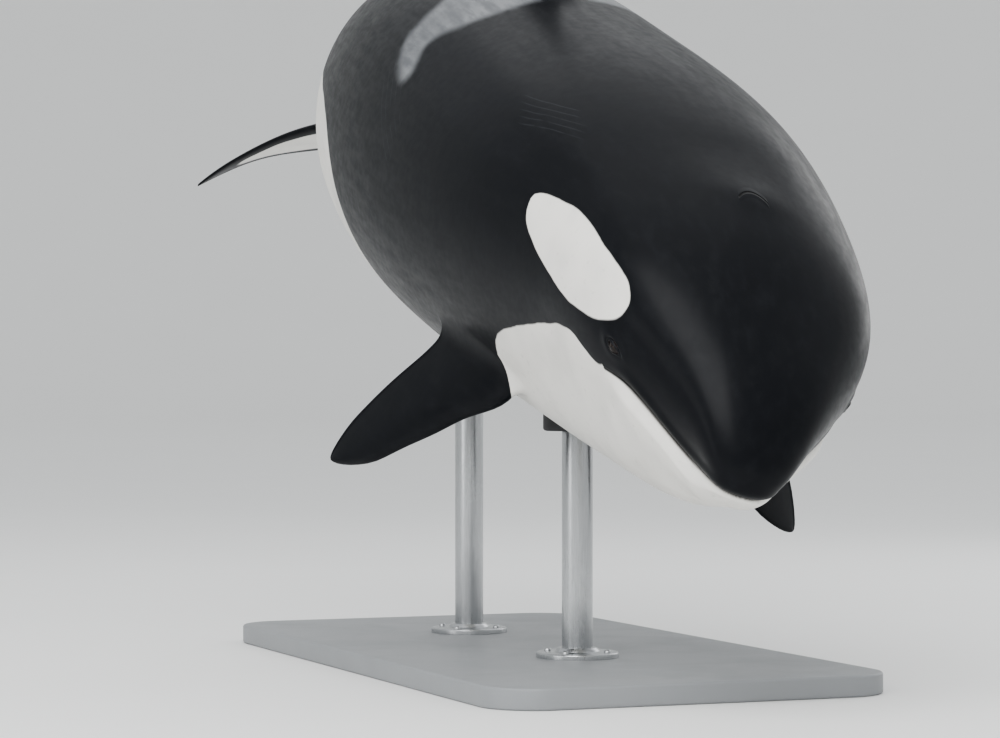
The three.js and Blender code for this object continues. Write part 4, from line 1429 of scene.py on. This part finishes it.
def screw_piece(end, k):
    """One of the four round-headed socket screws that hold a flange down."""
    node = f"stand_flange_{end}"
    x, y = spot_of(node)
    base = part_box(node)[0].z + FLANGE_PLATE
    angle = (45 + 90 * k) * RADIANS
    spot = (x + SCREW_RING_RADIUS * math.cos(angle), y + SCREW_RING_RADIUS * math.sin(angle))
    profile = [(radius, base + height) for radius, height in SCREW_PROFILE]
    return lathe(f"screw_{end}_{k + 1}", profile, spot, 24)


def saddle_piece(end, skin_tree):
    """A soft pad on a rod's head, its top shaped to the belly it carries."""
    node = f"stand_saddle_{end}"
    low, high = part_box(node)
    rings = []
    for radius, height, share, gap in SADDLE_RINGS:
        foot = low.z + height
        ring = []
        for x, y in circle(spot_of(node), radius, 72):
            hit = skin_tree.ray_cast(Vector((x, y, low.z - 0.05)), Vector((0, 0, 1)))[0]
            belly = hit.z if hit else high.z
            ring.append((x, y, foot + (belly - gap - foot) * share))
        rings.append(ring)
    return ringed(f"saddle_{end}", rings, "faced", 50)


def base_piece():
    """The flat plate, with wide rounded corners and a rounded upper and lower edge."""
    low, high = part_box("stand_base")
    rings = []
    for radius, height in rounded_side(BASE_CORNER, low.z, high.z, BASE_EDGE):
        ring = []
        for sx, sy, start in ((1, 1, 0), (-1, 1, 90), (-1, -1, 180), (1, -1, 270)):
            for k in range(17):
                angle = (start + 90 * k / 16) * RADIANS
                x = (high.x - BASE_CORNER) * sx + radius * math.cos(angle)
                y = (high.y - BASE_CORNER) * sy + radius * math.sin(angle)
                ring.append((x, y, height))
        rings.append(ring)
    return ringed("base_plate", rings, "faced")


# The room: floor, light and camera

FLOOR_FLAT = 42.0
FLOOR_BEND = 12.0
WALL_HEIGHT = 30.0
FLOOR_COLOURS = ((0.885, 0.885, 0.875), (0.905, 0.905, 0.895))
SKY_COLOUR = (0.93, 0.95, 0.97, 1.0)
SKY_STRENGTH = 0.80
LIT_SPOT = (0, -0.6, 1.4)
# name, place, size and power
LIGHTS = [
    ("key", (-4.5, -6.5, 6.5), (6.5, 6.5), 620),
    ("top", (0.8, 1.0, 7.5), (7.0, 10.0), 120),
    ("rim", (6.5, 3.0, 3.5), (3.0, 5.0), 70),
    ("fill", (-8.5, -2.0, 2.0), (3.0, 4.0), 60),
]


def floor():
    """A plain pale floor that curves up into a wall far away on every side."""
    profile = [(0.0, 0.0), (6.0, 0.0), (14.0, 0.0), (FLOOR_FLAT, 0.0)]
    for k in range(1, 13):
        angle = k / 12 * math.pi / 2
        profile.append((FLOOR_FLAT + FLOOR_BEND * math.sin(angle), FLOOR_BEND * (1 - math.cos(angle))))
    profile.append((FLOOR_FLAT + FLOOR_BEND, WALL_HEIGHT))
    made = lathe("floor", profile, (0, 0))
    shades = Shades("floor")
    colour = shades.mix(shades.noise(shades.object_place(), 0.6), *FLOOR_COLOURS)
    made.data.materials.append(shades.finish(Base_Color=colour, Roughness=0.7))


def aimed(data, spot, forward):
    """A light or camera at a spot, looking forward."""
    made = link(data)
    made.location = spot
    made.rotation_mode = "QUATERNION"
    made.rotation_quaternion = Vector(forward).to_track_quat("-Z", "Y")
    return made


def studio():
    world = bpy.data.worlds.new("studio")
    world.use_nodes = True
    background = world.node_tree.nodes["Background"]
    background.inputs["Color"].default_value = SKY_COLOUR
    background.inputs["Strength"].default_value = SKY_STRENGTH
    bpy.context.scene.world = world
    for name, spot, size, power in LIGHTS:
        data = bpy.data.lights.new(name, "AREA")
        data.shape = "RECTANGLE"
        data.size, data.size_y = size
        data.energy = power
        aimed(data, spot, Vector(LIT_SPOT) - Vector(spot))


def camera():
    data = bpy.data.cameras.new("camera")
    data.lens = CAMERA_LENS
    data.sensor_width = CAMERA_SENSOR
    data.clip_end = 500
    bpy.context.scene.camera = aimed(data, CAMERA_PLACE, CAMERA_FORWARD)
    bpy.context.scene.view_settings.look = "AgX - Medium High Contrast"


# Putting it together

FLESH = (
    "head", "lower_jaw", "thorax", "abdomen", "tail_stock", "dorsal_fin",
    "flipper_right", "flipper_left", "fluke_right", "fluke_left",
)


def finished(piece, material, slot, *nodes):
    """Gives a piece its material, its body and the nodes it stands for."""
    piece.data.materials.append(material)
    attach(piece, "root")
    if nodes:
        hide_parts(*nodes)
    return piece


camera()
skin = finished(skin_object(), skin_material(), "black_skin", *FLESH)
eye_finish = eye_material()
for node, side in EYES.items():
    finished(eyeball(side), eye_finish, "eye", node)

paint = stand_material(
    "base_paint", (0.30, 0.31, 0.32), (0.26, 0.27, 0.28), 0.45, 0.0, (1, 1, 1), 900, 0.0002,
)
steel = stand_material(
    "brushed_steel", (0.52, 0.53, 0.54), (0.42, 0.43, 0.44), 0.30, 1.0, (1, 1, 0.02), 700, 0.0001,
)
pad = stand_material(
    "saddle_rubber", (0.030, 0.030, 0.032), (0.050, 0.050, 0.052), 0.65, 0.0, (1, 1, 1), 600, 0.0003,
)
skin_tree = BVHTree.FromObject(skin, bpy.context.evaluated_depsgraph_get())
finished(base_piece(), paint, "base_plate", "stand_base")
for end in ("front", "rear"):
    finished(rod_piece(end), steel, "rod", f"stand_rod_{end}")
    finished(flange_piece(end), steel, "rod", f"stand_flange_{end}")
    for k in range(4):
        finished(screw_piece(end, k), steel, "rod")
    finished(saddle_piece(end, skin_tree), pad, "saddle", f"stand_saddle_{end}")

floor()
studio()
